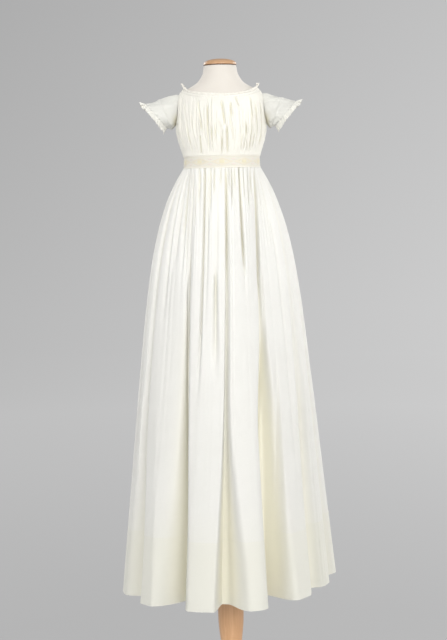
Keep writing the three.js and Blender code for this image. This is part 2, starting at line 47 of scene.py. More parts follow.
# ---- Measures shared with the solids
HEM_Z = 249.0
WAIST_Z = 1062.0  # lower edge of the waistband
BAND_HEIGHT = 24.0
SEAM_GAP = 0.3
DEEP_HEM = 126.0  # height of cloth turned up inside the hem
BODICE_EASE = 4.6  # the bodice's outer face above the form, where it hangs free
SHOULDER_EASE = 2.8
SKIRT_EASE = 5.4
BAND_EASE = 4.2
CASING_WIDTH = 5.0
BODICE_FOOT_Z = WAIST_Z + BAND_HEIGHT + SEAM_GAP
SEAM_ANGLE = 0.17  # degrees from a seam to the cloth's edge
NECK_SHOULDER_Z = 1212.0
NECK_FRONT_DROP = 15.0
NECK_BACK_DROP = 9.0
ARMHOLE_BOTTOM, ARMHOLE_TOP = 1146.0, 1203.0
ARMHOLE_FRONT_ANGLE, ARMHOLE_BACK_ANGLE = 20.0, 18.0
ARMHOLE_REACH = 27.0  # the cloth's threads bend round the armhole as far as this angle from the side

# Level sections of the dress form: height, half its width at the sides, depth in front and behind the axis.
FORM_SECTIONS = np.array([
    (935, 60, 44, 45), (939, 69, 51, 52), (948, 75, 55, 56), (975, 79, 57, 59), (1005, 79, 57, 58),
    (1035, 73, 53, 51), (1062, 69, 51, 46), (1084, 68.5, 51, 45.5), (1104, 73, 55, 48),
    (1122, 78.5, 58.5, 51.5), (1140, 82, 60.5, 54), (1162, 82.5, 59.5, 56), (1182, 81.5, 54.5, 55),
    (1196, 79, 48, 52), (1205, 75, 43.5, 48.5), (1211, 69.5, 40.5, 45), (1217, 58, 37.5, 41),
    (1225, 45, 34.5, 36.5), (1233, 38.5, 32.5, 33), (1243, 33.5, 31, 31), (1257, 31, 30, 30),
], float)

# The skirt's large folds, one row for each valley: its angle at the waist and at the hem, its depth at the hem,
# the share of the fold before and after it over which it opens, and how far down the three gathers between it
# and the next valley reach, as shares of the skirt's length.
SKIRT_VALLEYS = np.array([
    (180, 176, 22, 0.4, 0.4, 0.12, 0.24, 0.14),
    (200, 208, 30, 0.4, 0.5, 0.1, 0.2, 0.3),
    (220, 236, 14, 0.28, 0.55, 0.14, 0.42, 0.44),
    (276, 265, 60, 0.17, 0.5, 0.12, 0.34, 0.12),
    (321, 301, 64, 0.45, 0.42, 0.16, 0.26, 0.12),
    (345, 342, 22, 0.4, 0.4, 0.14, 0.26, 0.18),
    (370, 373, 30, 0.45, 0.35, 0.12, 0.3, 0.16),
    (395, 399, 48, 0.35, 0.5, 0.26, 0.12, 0.2),
    (423, 424, 62, 0.5, 0.3, 0.14, 0.36, 0.12),
    (450, 449, 70, 0.3, 0.5, 0.28, 0.12, 0.24),
    (477, 473, 58, 0.5, 0.35, 0.12, 0.38, 0.16),
    (501, 497, 62, 0.35, 0.4, 0.24, 0.12, 0.3),
    (521, 519, 44, 0.45, 0.4, 0.3, 0.14, 0.2),
], float)
FOLDS_ROUND = len(SKIRT_VALLEYS)
GATHERS_PER_FOLD = 4
GATHER_AT_WAIST, GATHER_PER_LENGTH = 1.9, 24.0
DEPTH_POWER = 0.75  # how fast a large fold deepens down the skirt
RIGHT_SEAM = 5.5  # the side seam on +X, in folds after the first valley, which is the other seam
BLOOM_SHARE, BLOOM_LENGTH = 0.4, 0.11  # how fast the skirt springs out under the band
HANG_POWER, HANG_FROM, HANG_OVER = 1.4, 0.5, 0.45  # the middle hangs straighter than the sides

# The line that the folds' crests follow round the hem: angle and radius.
HEM_CRESTS = np.array([
    (165, 203), (190, 211), (222, 214), (256, 210), (283, 207), (306, 188), (325, 180), (352, 187), (370, 208),
    (385, 236), (400, 278), (420, 296), (450, 286), (480, 262), (505, 226), (525, 203),
], float)

# The cuff's seam, an oval between two points of the sleeve's outline, and half its depth.
CUFF_TOP_X, CUFF_TOP_Z, CUFF_BOTTOM_X, CUFF_BOTTOM_Z = 143.0, 1187.0, 104.0, 1141.0
CUFF_HALF_DEPTH, CUFF_MIDDLE_Y = 32.0, -2.0
CUFF_CENTRE_X, CUFF_CENTRE_Z, ARMHOLE_CENTRE_X = 123.5, 1166.0, 80.0
SLEEVE_CLEAR_FRONT, SLEEVE_CLEAR_BACK = 1.6, 1.0
SLEEVE_PUFF = 5.0

# ---- The cloth's own sizes
COTTON = 0.5  # wall of one layer
HEM_COTTON = 0.9  # wall where the deep hem doubles it
BAND_WALL = 1.6

# Creases laid on the skirt. Columns: where the crease starts and ends round the skirt, counted in folds
# as SKIRT_VALLEYS is; where it starts and ends down the skirt, as shares of its length; half its width in folds at
# its start and its end; its depth, which is below 0 for a ridge.
SKIRT_CREASES = (
    # right side of the gown, -X
    (0.3, 0.25, 0.05, 0.55, 0.05, 0.07, 2.5), (0.62, 0.6, 0.02, 0.9, 0.05, 0.08, 5),
    (0.86, 0.9, 0.5, 1, 0.04, 0.05, -1.5), (1.3, 1.34, 0.01, 0.4, 0.04, 0.06, 3),
    (1.55, 1.5, 0.01, 0.28, 0.025, 0.05, 3),
    # front, from its right to its left
    (1.72, 1.68, 0, 0.2, 0.022, 0.03, 5), (1.84, 1.86, 0, 0.3, 0.022, 0.03, 4),
    (2, 2.02, 0.18, 0.5, 0.02, 0.03, 5.5), (1.94, 1.97, 0.24, 1, 0.01, 0.056, 13),
    (2.12, 2.1, 0.02, 0.16, 0.02, 0.025, 4), (2.22, 2.2, 0, 0.1, 0.02, 0.025, 4),
    (2.4, 2.38, 0, 0.55, 0.024, 0.04, 8), (2.58, 2.56, 0, 0.12, 0.02, 0.025, 5),
    (2.68, 2.66, 0, 0.07, 0.018, 0.022, 4), (2.72, 2.77, 0.22, 0.5, 0.03, 0.08, 8),
    (2.86, 2.85, 0, 0.05, 0.018, 0.02, 3.5), (3, 3, 0, 0.3, 0.022, 0.03, 3),
    (3.1, 3.1, 0, 0.06, 0.018, 0.02, 3.5), (3.19, 3.19, 0, 0.1, 0.02, 0.022, 4),
    (3.3, 3.3, 0, 0.06, 0.018, 0.02, 3.5), (3.46, 3.55, 0, 0.28, 0.026, 0.04, 8.5),
    (3.62, 3.64, 0, 0.09, 0.02, 0.024, 4.5), (3.78, 3.8, 0, 0.12, 0.02, 0.025, 4),
    (3.95, 3.95, 0, 0.08, 0.02, 0.022, 3.5), (4.28, 3.98, 0, 0.36, 0.028, 0.04, 9),
    (4.18, 4, 0.22, 0.9, 0.03, 0.03, 5), (4.42, 4.45, 0.02, 0.24, 0.03, 0.04, 2.5),
    (4.62, 4.6, 0.1, 0.9, 0.04, 0.06, 2.5), (4.86, 4.84, 0.4, 1, 0.03, 0.04, 3),
    (4.73, 4.72, 0.55, 1, 0.02, 0.024, 4), (5.12, 5.1, 0.5, 1, 0.028, 0.03, 3.5),
    (5.2, 5.2, 0.45, 1, 0.025, 0.025, -2.5),
    # left side of the gown, +X
    (5.3, 5.3, 0.03, 0.7, 0.05, 0.07, 3), (5.29, 5.27, 0.55, 1, 0.02, 0.022, 4),
    (5.42, 5.38, 0.5, 1, 0.022, 0.024, 3.5), (5.74, 5.7, 0.1, 1, 0.05, 0.06, 4),
    (6.3, 6.36, 0.02, 0.6, 0.05, 0.06, 3), (6.7, 6.66, 0.15, 1, 0.05, 0.07, 4.5),
    # back
    (7.3, 7.36, 0.02, 0.55, 0.04, 0.06, 4), (7.66, 7.6, 0.1, 0.9, 0.04, 0.06, 3.5),
    (8.34, 8.3, 0.03, 0.8, 0.04, 0.06, 3), (8.68, 8.72, 0.1, 1, 0.04, 0.05, 4.5),
    (9.3, 9.3, 0.02, 0.45, 0.04, 0.05, 4), (9.64, 9.6, 0.15, 1, 0.05, 0.07, 3.5),
    (10.3, 10.36, 0.05, 0.9, 0.04, 0.06, 4.5), (10.72, 10.68, 0.02, 0.6, 0.04, 0.06, 3),
    (11.34, 11.3, 0.1, 1, 0.05, 0.06, 4), (11.7, 11.74, 0.03, 0.5, 0.04, 0.06, 3.5),
    (12.32, 12.3, 0.05, 0.8, 0.05, 0.07, 3), (12.7, 12.66, 0.2, 1, 0.05, 0.06, 3.5),
)


# ---- Curves
def mix(a, b, t):
    return a + (b - a) * t


def smooth(x):
    x = np.clip(x, 0, 1)
    return x * x * (3 - 2 * x)


def bell(x):
    return np.exp(-np.square(x))


def wave(turns, phase=0):
    return np.sin(2 * np.pi * turns + phase)


def furrowed(turns):
    """0 on a crest and 1 in a furrow."""
    return 0.5 - 0.5 * np.cos(2 * np.pi * turns)


def along_table(table, column, at):
    """A smooth curve through one column of a table against its first, which never swings past its rows."""
    x, y = table[:, 0], table[:, column]
    at = np.clip(at, x[0], x[-1])
    k = np.clip(np.searchsorted(x, at, side="left") - 1, 0, len(x) - 2)
    slope = np.diff(y) / np.diff(x)
    before, after = slope[:-1], slope[1:]
    turning = before * after <= 0
    inner = np.where(turning, 0, 2 * before * after / np.where(turning, 1, before + after))
    tangent = np.concatenate([slope[:1], inner, slope[-1:]])
    width = x[k + 1] - x[k]
    t = (at - x[k]) / width
    return (
        y[k] * (1 + 2 * t) * (1 - t) ** 2
        + y[k + 1] * t * t * (3 - 2 * t)
        + width * (tangent[k] * t * (1 - t) ** 2 - tangent[k + 1] * t * t * (1 - t))
    )


def unit(v):
    return v / np.maximum(np.linalg.norm(v, axis=-1, keepdims=True), 1e-9)


def point(x, y, z):
    return np.stack(np.broadcast_arrays(x, y, z), axis=-1).astype(float)


def form_point(angle, z):
    a = np.radians(angle)
    depth = np.where(np.sin(a) < 0, along_table(FORM_SECTIONS, 2, z), along_table(FORM_SECTIONS, 3, z))
    return point(along_table(FORM_SECTIONS, 1, z) * np.cos(a), depth * np.sin(a), z)


def form_normal(angle, z):
    step = 0.5
    around = form_point(angle + step, z) - form_point(angle - step, z)
    up = form_point(angle, z + step) - form_point(angle, z - step)
    return unit(np.cross(around, up))


def on_form(angle, z, lift):
    return form_point(angle, z) + form_normal(angle, z) * np.asarray(lift)[..., None]


def grid(columns, rows):
    """Shares 0 to 1 along and up a panel, with that many spans each way."""
    return np.meshgrid(np.linspace(0, 1, columns + 1), np.linspace(0, 1, rows + 1))


# ---- Meshes
def make(name, points, faces, material, flat_at=None, marks=None, sharp=50):
    """A mesh object. flat_at has a place on the cloth's cut, in metres, for every corner of every face, and marks
    has named numbers for every point, which the materials read."""
    mesh = bpy.data.meshes.new(name)
    mesh.from_pydata((np.asarray(points) * MM).tolist(), [], faces)
    mesh.polygons.foreach_set("use_smooth", np.ones(len(mesh.polygons), bool))
    mesh.set_sharp_from_angle(angle=math.radians(sharp))
    if flat_at is not None:
        mesh.uv_layers.new(name="cut").data.foreach_set("uv", np.asarray(flat_at, np.float32).ravel())
    for key, values in (marks or {}).items():
        mesh.attributes.new(key, "FLOAT", "POINT").data.foreach_set("value", np.asarray(values, np.float32).ravel())
    mesh.materials.append(material)
    piece = bpy.data.objects.new(name, mesh)
    bpy.context.scene.collection.objects.link(piece)
    return piece


def keep(piece, slot, *nodes):
    """The piece rides with the gown's one body and stands for those solids, which it hides. slot is not used."""
    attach(piece, "root")
    if nodes:
        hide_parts(*nodes)
    return piece


def grid_normals(at, closed):
    around = np.roll(at, -1, axis=1) - np.roll(at, 1, axis=1) if closed else np.gradient(at, axis=1)
    return unit(np.cross(around, np.gradient(at, axis=0)))


def corners(numbers, closed):
    """The four corners of every span of a grid of numbers, counterclockwise from below."""
    right = np.roll(numbers, -1, axis=1) if closed else numbers[:, 1:]
    left = numbers if closed else numbers[:, :-1]
    return np.stack([left[:-1], right[:-1], right[1:], left[1:]], axis=-1).reshape(-1, 4)


def shell(name, outer, wall, cut, material, closed=False, inner=None, marks=None, levels=None):
    """A closed thin wall under a grid of outer points. Columns run counterclockwise and rows up, seen from outside.
    cut is the width and height of the flat cloth in metres, and levels has each row's share of that height."""
    rows, columns = outer.shape[:2]
    if inner is None:
        inner = outer - grid_normals(outer, closed) * np.asarray(wall)[..., None]
    count = rows * columns
    numbers = np.arange(count).reshape(rows, columns)
    spans = columns if closed else columns - 1
    levels = np.linspace(0, 1, rows) if levels is None else levels
    flat = np.stack(np.meshgrid(np.linspace(0, cut[0], spans + 1), levels * cut[1]), axis=-1)
    flat_front = np.stack([flat[:-1, :-1], flat[:-1, 1:], flat[1:, 1:], flat[1:, :-1]], axis=2).reshape(-1, 4, 2)
    faces = [corners(numbers, closed), corners(numbers + count, closed)[:, ::-1]]
    places = [flat_front, flat_front[:, ::-1]]

    def rim(a, flat_a):
        """Quads from a line of points on the outer face to the inner one."""
        b = a + count
        faces.append(np.stack([a[:-1], b[:-1], b[1:], a[1:]], axis=-1))
        places.append(np.stack([flat_a[:-1], flat_a[:-1], flat_a[1:], flat_a[1:]], axis=1))

    ring = np.append(np.arange(columns), 0) if closed else np.arange(columns)
    rim(numbers[0][ring], flat[0])
    rim(numbers[-1][ring][::-1], flat[-1][::-1])
    if not closed:
        rim(numbers[:, -1], flat[:, -1])
        rim(numbers[::-1, 0], flat[::-1, 0])
    points = np.concatenate([outer.reshape(-1, 3), inner.reshape(-1, 3)])
    doubled = {k: np.tile(np.ravel(v), 2) for k, v in (marks or {}).items()}
    return make(name, points, np.concatenate(faces).tolist(), material, np.concatenate(places), doubled)


def capped(name, rings, low, high, material, marks=None, sharp=50):
    """A closed solid through rings of points, counterclockwise seen from its top, with a point at each end."""
    sides = rings.shape[1]
    numbers = np.arange(rings.shape[0] * sides).reshape(-1, sides)
    faces = corners(numbers, True).tolist()
    for end, ring in ((numbers.size, numbers[0][::-1]), (numbers.size + 1, numbers[-1])):
        faces += np.stack([np.full(sides, end), ring, np.roll(ring, -1)], axis=-1).tolist()
    return make(name, np.concatenate([rings.reshape(-1, 3), [low, high]]), faces, material, marks=marks, sharp=sharp)


def round_turns(sides):
    return np.linspace(0, 2 * np.pi, sides, endpoint=False)


def lathe(profile, sides=96):
    """Rings about Z from (radius, height) pairs, upwards."""
    turns = round_turns(sides)
    return np.stack([point(r * np.cos(turns), r * np.sin(turns), z) for r, z in profile])


def rods(name, outer, material):
    """Closed rods from points by rod, by ring along it and by side."""
    count, rings, sides = outer.shape[:3]
    numbers = np.arange(rings * sides).reshape(rings, sides)
    one = corners(numbers, True)[:, ::-1].tolist() + [numbers[0].tolist(), numbers[-1][::-1].tolist()]
    faces = [[k + rings * sides * i for k in face] for i in range(count) for face in one]
    return make(name, outer.reshape(-1, 3), faces, material, sharp=80)


def run_along(path):
    """The way from a path's start to each of its points."""
    return np.concatenate([[0], np.cumsum(np.linalg.norm(np.diff(path, axis=0), axis=1))])


CORD_RADIUS, CORD_SIDES, CORD_PLIES, CORD_TWIST = 0.95, 8, 2, 5.0  # a full twist in every 5 mm
CORD_GROOVE = 0.14  # the groove between its plies, as a share of the radius


def cord(name, path, normals):
    """A twisted cord laid along a path. normals point out of the cloth under it."""
    along = unit(np.gradient(path, axis=0))
    side = unit(np.cross(along, normals))
    lift = np.cross(side, along)
    turns = round_turns(CORD_SIDES)
    plies = np.abs(np.cos(CORD_PLIES / 2 * (turns + 2 * np.pi * run_along(path)[:, None] / CORD_TWIST)))
    ring = CORD_RADIUS * (1 - CORD_GROOVE + CORD_GROOVE * plies)
    across, out = (ring * np.cos(turns))[..., None], (ring * np.sin(turns))[..., None]
    return rods(name, (path[:, None] + side[:, None] * across + lift[:, None] * out)[None], CORD)


# A stitch, from end to end: the share of its length, its thickness and how far it stands off the cloth, both as
# shares of its radius.
STITCH = np.array([(0.0, 0.35, -0.2), (0.15, 0.9, 0.4), (0.5, 1.0, 0.75), (0.85, 0.9, 0.4), (1.0, 0.35, -0.2)])
STITCH_SIDES = 6


def stitches(name, path, normals, length, gap, radius):
    """Short straight stitches on a line of cloth points, each sunk a little at its ends."""
    run = run_along(path)
    starts = np.arange(gap, run[-1] - length - gap, length + gap)
    shares, swell, rise = STITCH.T
    turns = round_turns(STITCH_SIDES)
    at = starts[:, None] + length * shares
    middle = np.stack([np.interp(at, run, path[:, k]) for k in range(3)], axis=-1)
    out = unit(np.stack([np.interp(at, run, normals[:, k]) for k in range(3)], axis=-1))
    side = unit(np.cross(unit(middle[:, -1:] - middle[:, :1]), out))
    middle = middle + out * (radius * rise)[None, :, None]
    around = side[:, :, None] * np.cos(turns)[:, None] + out[:, :, None] * np.sin(turns)[:, None]
    return rods(name, middle[:, :, None] + radius * swell[None, :, None, None] * around, SEWING)


# ---- Materials
class Paint:
    """A material and its nodes, added one at a time."""

    def __init__(self, name, **shader):
        self.material = bpy.data.materials.new(name)
        self.material.use_nodes = True
        self.tree = self.material.node_tree
        self.shader = self.tree.nodes["Principled BSDF"]
        for socket, value in shader.items():
            self.shader.inputs[socket.replace("_", " ")].default_value = value

    def add(self, kind, *sources, **fields):
        """A node. sources feed its inputs in order."""
        made = self.tree.nodes.new("ShaderNode" + kind)
        for key, value in fields.items():
            setattr(made, key, value)
        for socket, source in zip(made.inputs, sources):
            self.feed(socket, source)
        return made

    def feed(self, socket, source):
        """Links a socket, or sets a value, where there is one. A colour is red, green and blue."""
        if isinstance(source, bpy.types.NodeSocket):
            self.tree.links.new(source, socket)
        elif source is not None:
            socket.default_value = (*source, 1.0) if socket.type == "RGBA" else source

    def feed_named(self, made, **sources):
        for key, source in sources.items():
            self.feed(made.inputs[key], source)
        return made

    def cut(self):
        """Places on the flat cloth, in metres."""
        return self.add("UVMap", uv_map="cut").outputs[0]

    def body(self):
        """Places in the object, in metres."""
        return self.add("TexCoord").outputs["Object"]

    def mark(self, name):
        return self.add("Attribute", attribute_name=name).outputs["Fac"]

    def math(self, operation, *sources):
        return self.add("Math", *sources, operation=operation).outputs[0]

    def sine(self, value, rate):
        return self.math("SINE", self.math("MULTIPLY", value, rate))

    def noise(self, vector, scale, detail=3.0, roughness=0.55):
        """scale is one number, or one for each axis."""
        if isinstance(scale, tuple):
            vector = self.add("Mapping", vector, (0, 0, 0), (0, 0, 0), scale, vector_type="POINT").outputs[0]
            scale = 1.0
        made = self.feed_named(self.add("TexNoise"), Vector=vector, Scale=scale, Detail=detail, Roughness=roughness)
        return made.outputs["Fac"]

    def blend(self, factor, a, b):
        made = self.add("Mix", data_type="RGBA")
        for index, source in ((0, factor), (6, a), (7, b)):
            self.feed(made.inputs[index], source)
        return made.outputs[2]

    def range(self, value, low, high, to_low=0.0, to_high=1.0):
        return self.add("MapRange", value, low, high, to_low, to_high).outputs[0]

    def bump(self, height, distance, under=None):
        made = self.feed_named(self.add("Bump"), Strength=1.0, Distance=distance, Height=height, Normal=under)
        return made.outputs[0]

    def finish(self, colour, normal=None, roughness=None):
        self.feed(self.shader.inputs["Base Color"], colour)
        self.feed_named(self.shader, Normal=normal, Roughness=roughness)
        return self.material


SLUB_RATES = 1500, 45  # across and along an uneven thread, in each metre
PUCKER_RATES = (130, 60, 1)
TONE_CLEARS = 0.3, 0.75  # the heights on the cut, in metres, between which its colour clears towards the top
SHARP = 0.0004  # half the width of a sharp change of colour, in metres
HEM_STEP, HEM_SHADE = 0.45, (-0.03, 0.07)  # the sharp step's share of the hem's colour, and the soft one's reach


def cotton(name, white, toned, thread=0.42, hem=None, painted_light=None):
    """Plain-woven cotton, with uneven threads, a soft mottle, and a colour that grows darker towards the bottom of
    the cut. thread is the distance between threads in millimetres; hem is the height of the doubled hem in metres,
    and its colour. The last argument is a colour of painted light deep in a fold, where the mark "deep" is 1."""
    paint = Paint(name, Roughness=0.88, Sheen_Weight=0.18, Sheen_Roughness=0.45, Specular_IOR_Level=0.22)
    cut = paint.cut()
    across, up, _ = paint.add("SeparateXYZ", cut).outputs
    rate = 2 * math.pi / (thread * MM)
    weave = paint.math("MULTIPLY", paint.sine(across, rate), paint.sine(up, rate))
    fine, coarse = SLUB_RATES
    slubs = paint.math("ADD", paint.noise(cut, (fine, coarse, 1), 2.0), paint.noise(cut, (coarse, fine, 1), 2.0))
    mottle = paint.noise(paint.body(), 14.0, 4.0)
    tint = paint.math("ADD", paint.range(mottle, 0.35, 0.75, 0, 0.25), paint.range(slubs, 0.8, 1.25, -0.12, 0.12))
    # The colour is darker towards the bottom of the cut and clears towards its top.
    tint = paint.math("ADD", tint, paint.range(up, *TONE_CLEARS, 0.75, 0.0))
    colour = paint.blend(paint.range(tint, 0.0, 1.0), white, toned)
    if hem is not None:
        height, ivory = hem
        step = paint.range(up, height - SHARP, height + SHARP, HEM_STEP, 0.0)
        soft = paint.range(up, height + HEM_SHADE[0], height + HEM_SHADE[1], 1 - HEM_STEP, 0.0)
        colour = paint.blend(paint.math("ADD", step, soft), colour, ivory)
    # Painted light deep in the folds, where the mark "deep" is 1, in the colour given last.
    if painted_light is not None:
        colour = paint.blend(paint.mark("deep"), colour, painted_light)
    normal = None
    for height, relief in ((paint.noise(cut, PUCKER_RATES, 3.0, 0.5), 0.0003), (slubs, 0.00016), (weave, 0.00012)):
        normal = paint.bump(height, relief, normal)
    return paint.finish(colour, normal)


def embroidered(name, ground, thread_a, thread_b):
    """Fine cotton worked with raised thread: the mark "worked" is 1 on the thread and "hue" picks its colour."""
    paint = Paint(name, Roughness=0.8, Sheen_Weight=0.2, Sheen_Roughness=0.4, Specular_IOR_Level=0.3)
    cut = paint.cut()
    slubs = paint.noise(cut, (900, 900, 1), 2.0)
    colour = paint.blend(paint.range(slubs, 0.3, 0.7, 0.0, 0.5), ground, thread_a)
    silk = paint.blend(paint.mark("hue"), thread_a, thread_b)
    colour = paint.blend(paint.range(paint.mark("worked"), 0.15, 0.7), colour, silk)
    satin = paint.sine(paint.add("SeparateXYZ", cut).outputs[0], 2 * math.pi / 0.0006)
    return paint.finish(colour, paint.bump(satin, 0.0001, paint.bump(slubs, 0.0002)))


def thread_paint(name, colour, shade):
    paint = Paint(name, Roughness=0.7, Sheen_Weight=0.2, Specular_IOR_Level=0.3)
    fuzz = paint.noise(paint.body(), 900.0, 3.0)
    return paint.finish(paint.blend(fuzz, colour, shade), paint.bump(fuzz, 0.0002))


def cover_paint(name, pale, dark, seam):
    """The form's cover: fine cream jersey, with a rib too small to see from afar."""
    paint = Paint(name, Roughness=0.9, Sheen_Weight=0.25, Specular_IOR_Level=0.2)
    body = paint.body()
    colour = paint.blend(paint.range(paint.noise(body, 30.0, 4.0), 0.3, 0.7), pale, dark)
    knit = paint.noise(body, (1100, 1100, 420), 2.0)
    return paint.finish(paint.blend(paint.mark("seam"), colour, seam), paint.bump(knit, 0.0003))


def wood_paint(name, pale, dark, along, shadow_band=None):
    """Oiled wood whose grain runs along one axis: 0 is X and 2 is Z. The last argument is a painted shadow: a dark
    colour, and the height in millimetres below which the wood has it."""
    paint = Paint(name, Roughness=0.42, Coat_Weight=0.25, Coat_Roughness=0.25, Specular_IOR_Level=0.45)
    body = paint.body()

    def grained(across, lengthwise):
        return tuple(lengthwise if axis == along else across for axis in range(3))

    rings = paint.noise(body, grained(42.0, 2.2), 5.0, 0.6)
    pores = paint.noise(body, grained(520.0, 9.0), 3.0)
    bands = paint.range(paint.sine(rings, 34.0), -1.0, 1.0, 0.0, 0.6)
    colour = paint.blend(paint.math("ADD", bands, paint.range(pores, 0.3, 0.7, 0.0, 0.5)), pale, dark)
    if shadow_band is not None:
        height, edge = paint.add("SeparateXYZ", body).outputs[2], shadow_band[1] * MM
        colour = paint.blend(paint.range(height, edge - SHARP, edge + SHARP, 1.0, 0.0), colour, shadow_band[0])
    return paint.finish(colour, paint.bump(pores, 0.00025), paint.range(pores, 0.2, 0.8, 0.36, 0.52))


# PAPER_GLOW rises towards +X: painted light, as if the paper were lit from that side.
PAPER_GLOW = (0.44, 0.59)  # towards -X and towards +X


def floor_paint():
    """Pale grey paper with a glow of its own and painted light: brighter towards +X, darker near the stand and high
    up.
    """
    paint = Paint("studio_paper", Roughness=0.95, Specular_IOR_Level=0.05, Emission_Strength=1.0)
    body = paint.body()
    parts = paint.add("SeparateXYZ", body).outputs
    glow = paint.blend(paint.range(parts[0], -2.2, 2.2), *((g, g, g) for g in PAPER_GLOW))
    # Painted shade: the glow darkens near the stand and higher up.
    near = paint.range(paint.add("VectorMath", body, operation="LENGTH").outputs["Value"], 0.8, 4.5, 0.2, 0.0)
    high = paint.range(parts[2], 0.2, 2.6, 0.0, 0.13)
    glow = paint.blend(paint.math("ADD", near, high), glow, (0, 0, 0))
    paint.feed(paint.shader.inputs["Emission Color"], glow)
    return paint.finish((0.05, 0.05, 0.052))


HEM_TOP = (DEEP_HEM * MM, (0.745, 0.737, 0.665))
# Painted warm bounce light, for the cloth deep in the skirt's and bodice's folds.
PAINTED_FOLD_BOUNCE = (0.93, 0.905, 0.775)
# Painted shade, for the sleeves' undersides near the armholes.
PAINTED_SLEEVE_SHADE = (0.66, 0.62, 0.46)
SKIRT_COTTON = cotton("skirt_cotton", (0.845, 0.84, 0.805), (0.745, 0.738, 0.7), hem=HEM_TOP, painted_light=PAINTED_FOLD_BOUNCE)
BODICE_COTTON = cotton("bodice_cotton", (0.885, 0.875, 0.82), (0.865, 0.845, 0.77), painted_light=PAINTED_FOLD_BOUNCE)
SLEEVE_COTTON = cotton("sleeve_cotton", (0.755, 0.755, 0.715), (0.745, 0.74, 0.69), 0.5, painted_light=PAINTED_SLEEVE_SHADE)
FRILL_COTTON = cotton("frill_cotton", (0.86, 0.855, 0.81), (0.84, 0.83, 0.765), 0.5)
NECK_COTTON = cotton("neck_frill_cotton", (0.88, 0.86, 0.8), (0.865, 0.835, 0.765), 0.5)
CASING_COTTON = cotton("casing_cotton", (0.885, 0.87, 0.81), (0.87, 0.85, 0.78))
BAND_WORK = embroidered("band_work", (0.775, 0.757, 0.705), (0.79, 0.735, 0.55), (0.8, 0.725, 0.675))
SEWING = thread_paint("sewing_thread", (0.84, 0.82, 0.74), (0.77, 0.74, 0.64))
CORD = thread_paint("band_cord", (0.83, 0.8, 0.735), (0.8, 0.77, 0.68))
COVER = cover_paint("form_jersey", (0.665, 0.63, 0.575), (0.65, 0.61, 0.555), (0.62, 0.565, 0.48))
# A painted shadow line: a dark band round the foot of the neck cap, where it overhangs the form's neck.
CAP_SHADOW_LINE = (0.1, 0.045, 0.02), FORM_SECTIONS[-1, 0] + 2.0
WOOD = wood_paint("honey_wood", (0.74, 0.46, 0.26), (0.65, 0.38, 0.2), 2)
CAP_WOOD = wood_paint("cap_wood", (0.52, 0.31, 0.165), (0.42, 0.235, 0.115), 0, CAP_SHADOW_LINE)
BASE_WOOD = wood_paint("base_wood", (0.52, 0.28, 0.14), (0.4, 0.2, 0.09), 0)

# ---- The dress form and its stand
FORM_SEAMS = (0, 90, 180)  # the angles of the cover's seams
SEAM_WIDTH, SEAM_DEPTH = 0.9, 0.45
CAP_RADIUS, CAP_HEIGHT, CAP_FOOT = 31.5, 13.0, 3.0
BASE_RADIUS, BASE_HEIGHT, BASE_LIP = 165.0, 24.0, 6.0
POLE_HEIGHT, POLE_CHAMFER = 910.4, 1.5
POLE_TABLE = np.array(
    [(0, 34), (8, 34), (16, 21), (60, 16), (160, 25), (330, 27), (640, 23), (890, 21), (POLE_HEIGHT, 21)], float
)


def add_form():
    z_low, z_high = FORM_SECTIONS[0, 0], FORM_SECTIONS[-1, 0]
    sides, rows = 120, 80
    turn, z = np.meshgrid(np.arange(sides) * 360 / sides, np.linspace(z_low, z_high, rows + 1))
    distance = np.min([np.abs((turn - a + 180) % 360 - 180) for a in FORM_SEAMS], axis=0)
    seam = bell(np.radians(distance) * along_table(FORM_SECTIONS, 1, z) / SEAM_WIDTH)
    marks = {"seam": np.append(np.ravel(seam) * 0.6, [0, 0])}
    rings = on_form(turn, z, -SEAM_DEPTH * seam)
    keep(capped("dress_form", rings, (0, 0, z_low), (0, 0, z_high), COVER, marks), "form_cover", "form_body")


def rounded(radius, low, high, edge, steps=6):
    """The profile of a disc with rounded edges, from its lower edge to its upper one."""
    turns = np.linspace(0, np.pi / 2, steps)
    lower = [(radius - edge + edge * math.sin(t), low + edge - edge * math.cos(t)) for t in turns]
    upper = [(radius - edge + edge * math.cos(t), high - edge + edge * math.sin(t)) for t in turns]
    return lower + upper


def add_stand():
    foot_z = BASE_HEIGHT + SEAM_GAP
    heights = np.concatenate([np.linspace(0, 20, 21), np.linspace(24, POLE_HEIGHT, 50)])
    pole = [(float(along_table(POLE_TABLE, 1, h)), foot_z + h) for h in heights]
    pole = [(pole[0][0] - POLE_CHAMFER, foot_z)] + pole[1:]
    cap_z = FORM_SECTIONS[-1, 0] + SEAM_GAP
    dome = [
        (CAP_RADIUS * math.cos(t) ** 0.8, cap_z + CAP_FOOT + (CAP_HEIGHT - CAP_FOOT) * math.sin(t))
        for t in np.linspace(0, 0.94 * np.pi / 2, 20)
    ]
    cap = [(CAP_RADIUS - 1.2, cap_z), (CAP_RADIUS - 0.3, cap_z + 0.5), (CAP_RADIUS, cap_z + 1.2)] + dome
    base = rounded(BASE_RADIUS, 0, BASE_LIP, 2.5) + rounded(BASE_RADIUS - 3, BASE_LIP + 0.4, BASE_HEIGHT, 6)
    for name, profile, material, node in (
        ("neck_cap", cap, CAP_WOOD, "form_neck_cap"),
        ("pole", pole, WOOD, "stand_pole"),
        ("base", base, BASE_WOOD, "stand_base"),
    ):
        low, high = (0, 0, profile[0][1]), (0, 0, profile[-1][1])
        keep(capped(name, lathe(profile), low, high, material, sharp=40), "honey_wood", node)


# ---- The bodice
BLOUSE, BLOUSE_Z, BLOUSE_REACH = 1.4, 1110.0, 26.0  # how far the cloth blouses over the band, and where
SHOULDERS_Z, SHOULDERS_OVER = 1172.0, 30.0  # where the cloth begins to rest on the shoulders, and how gradually


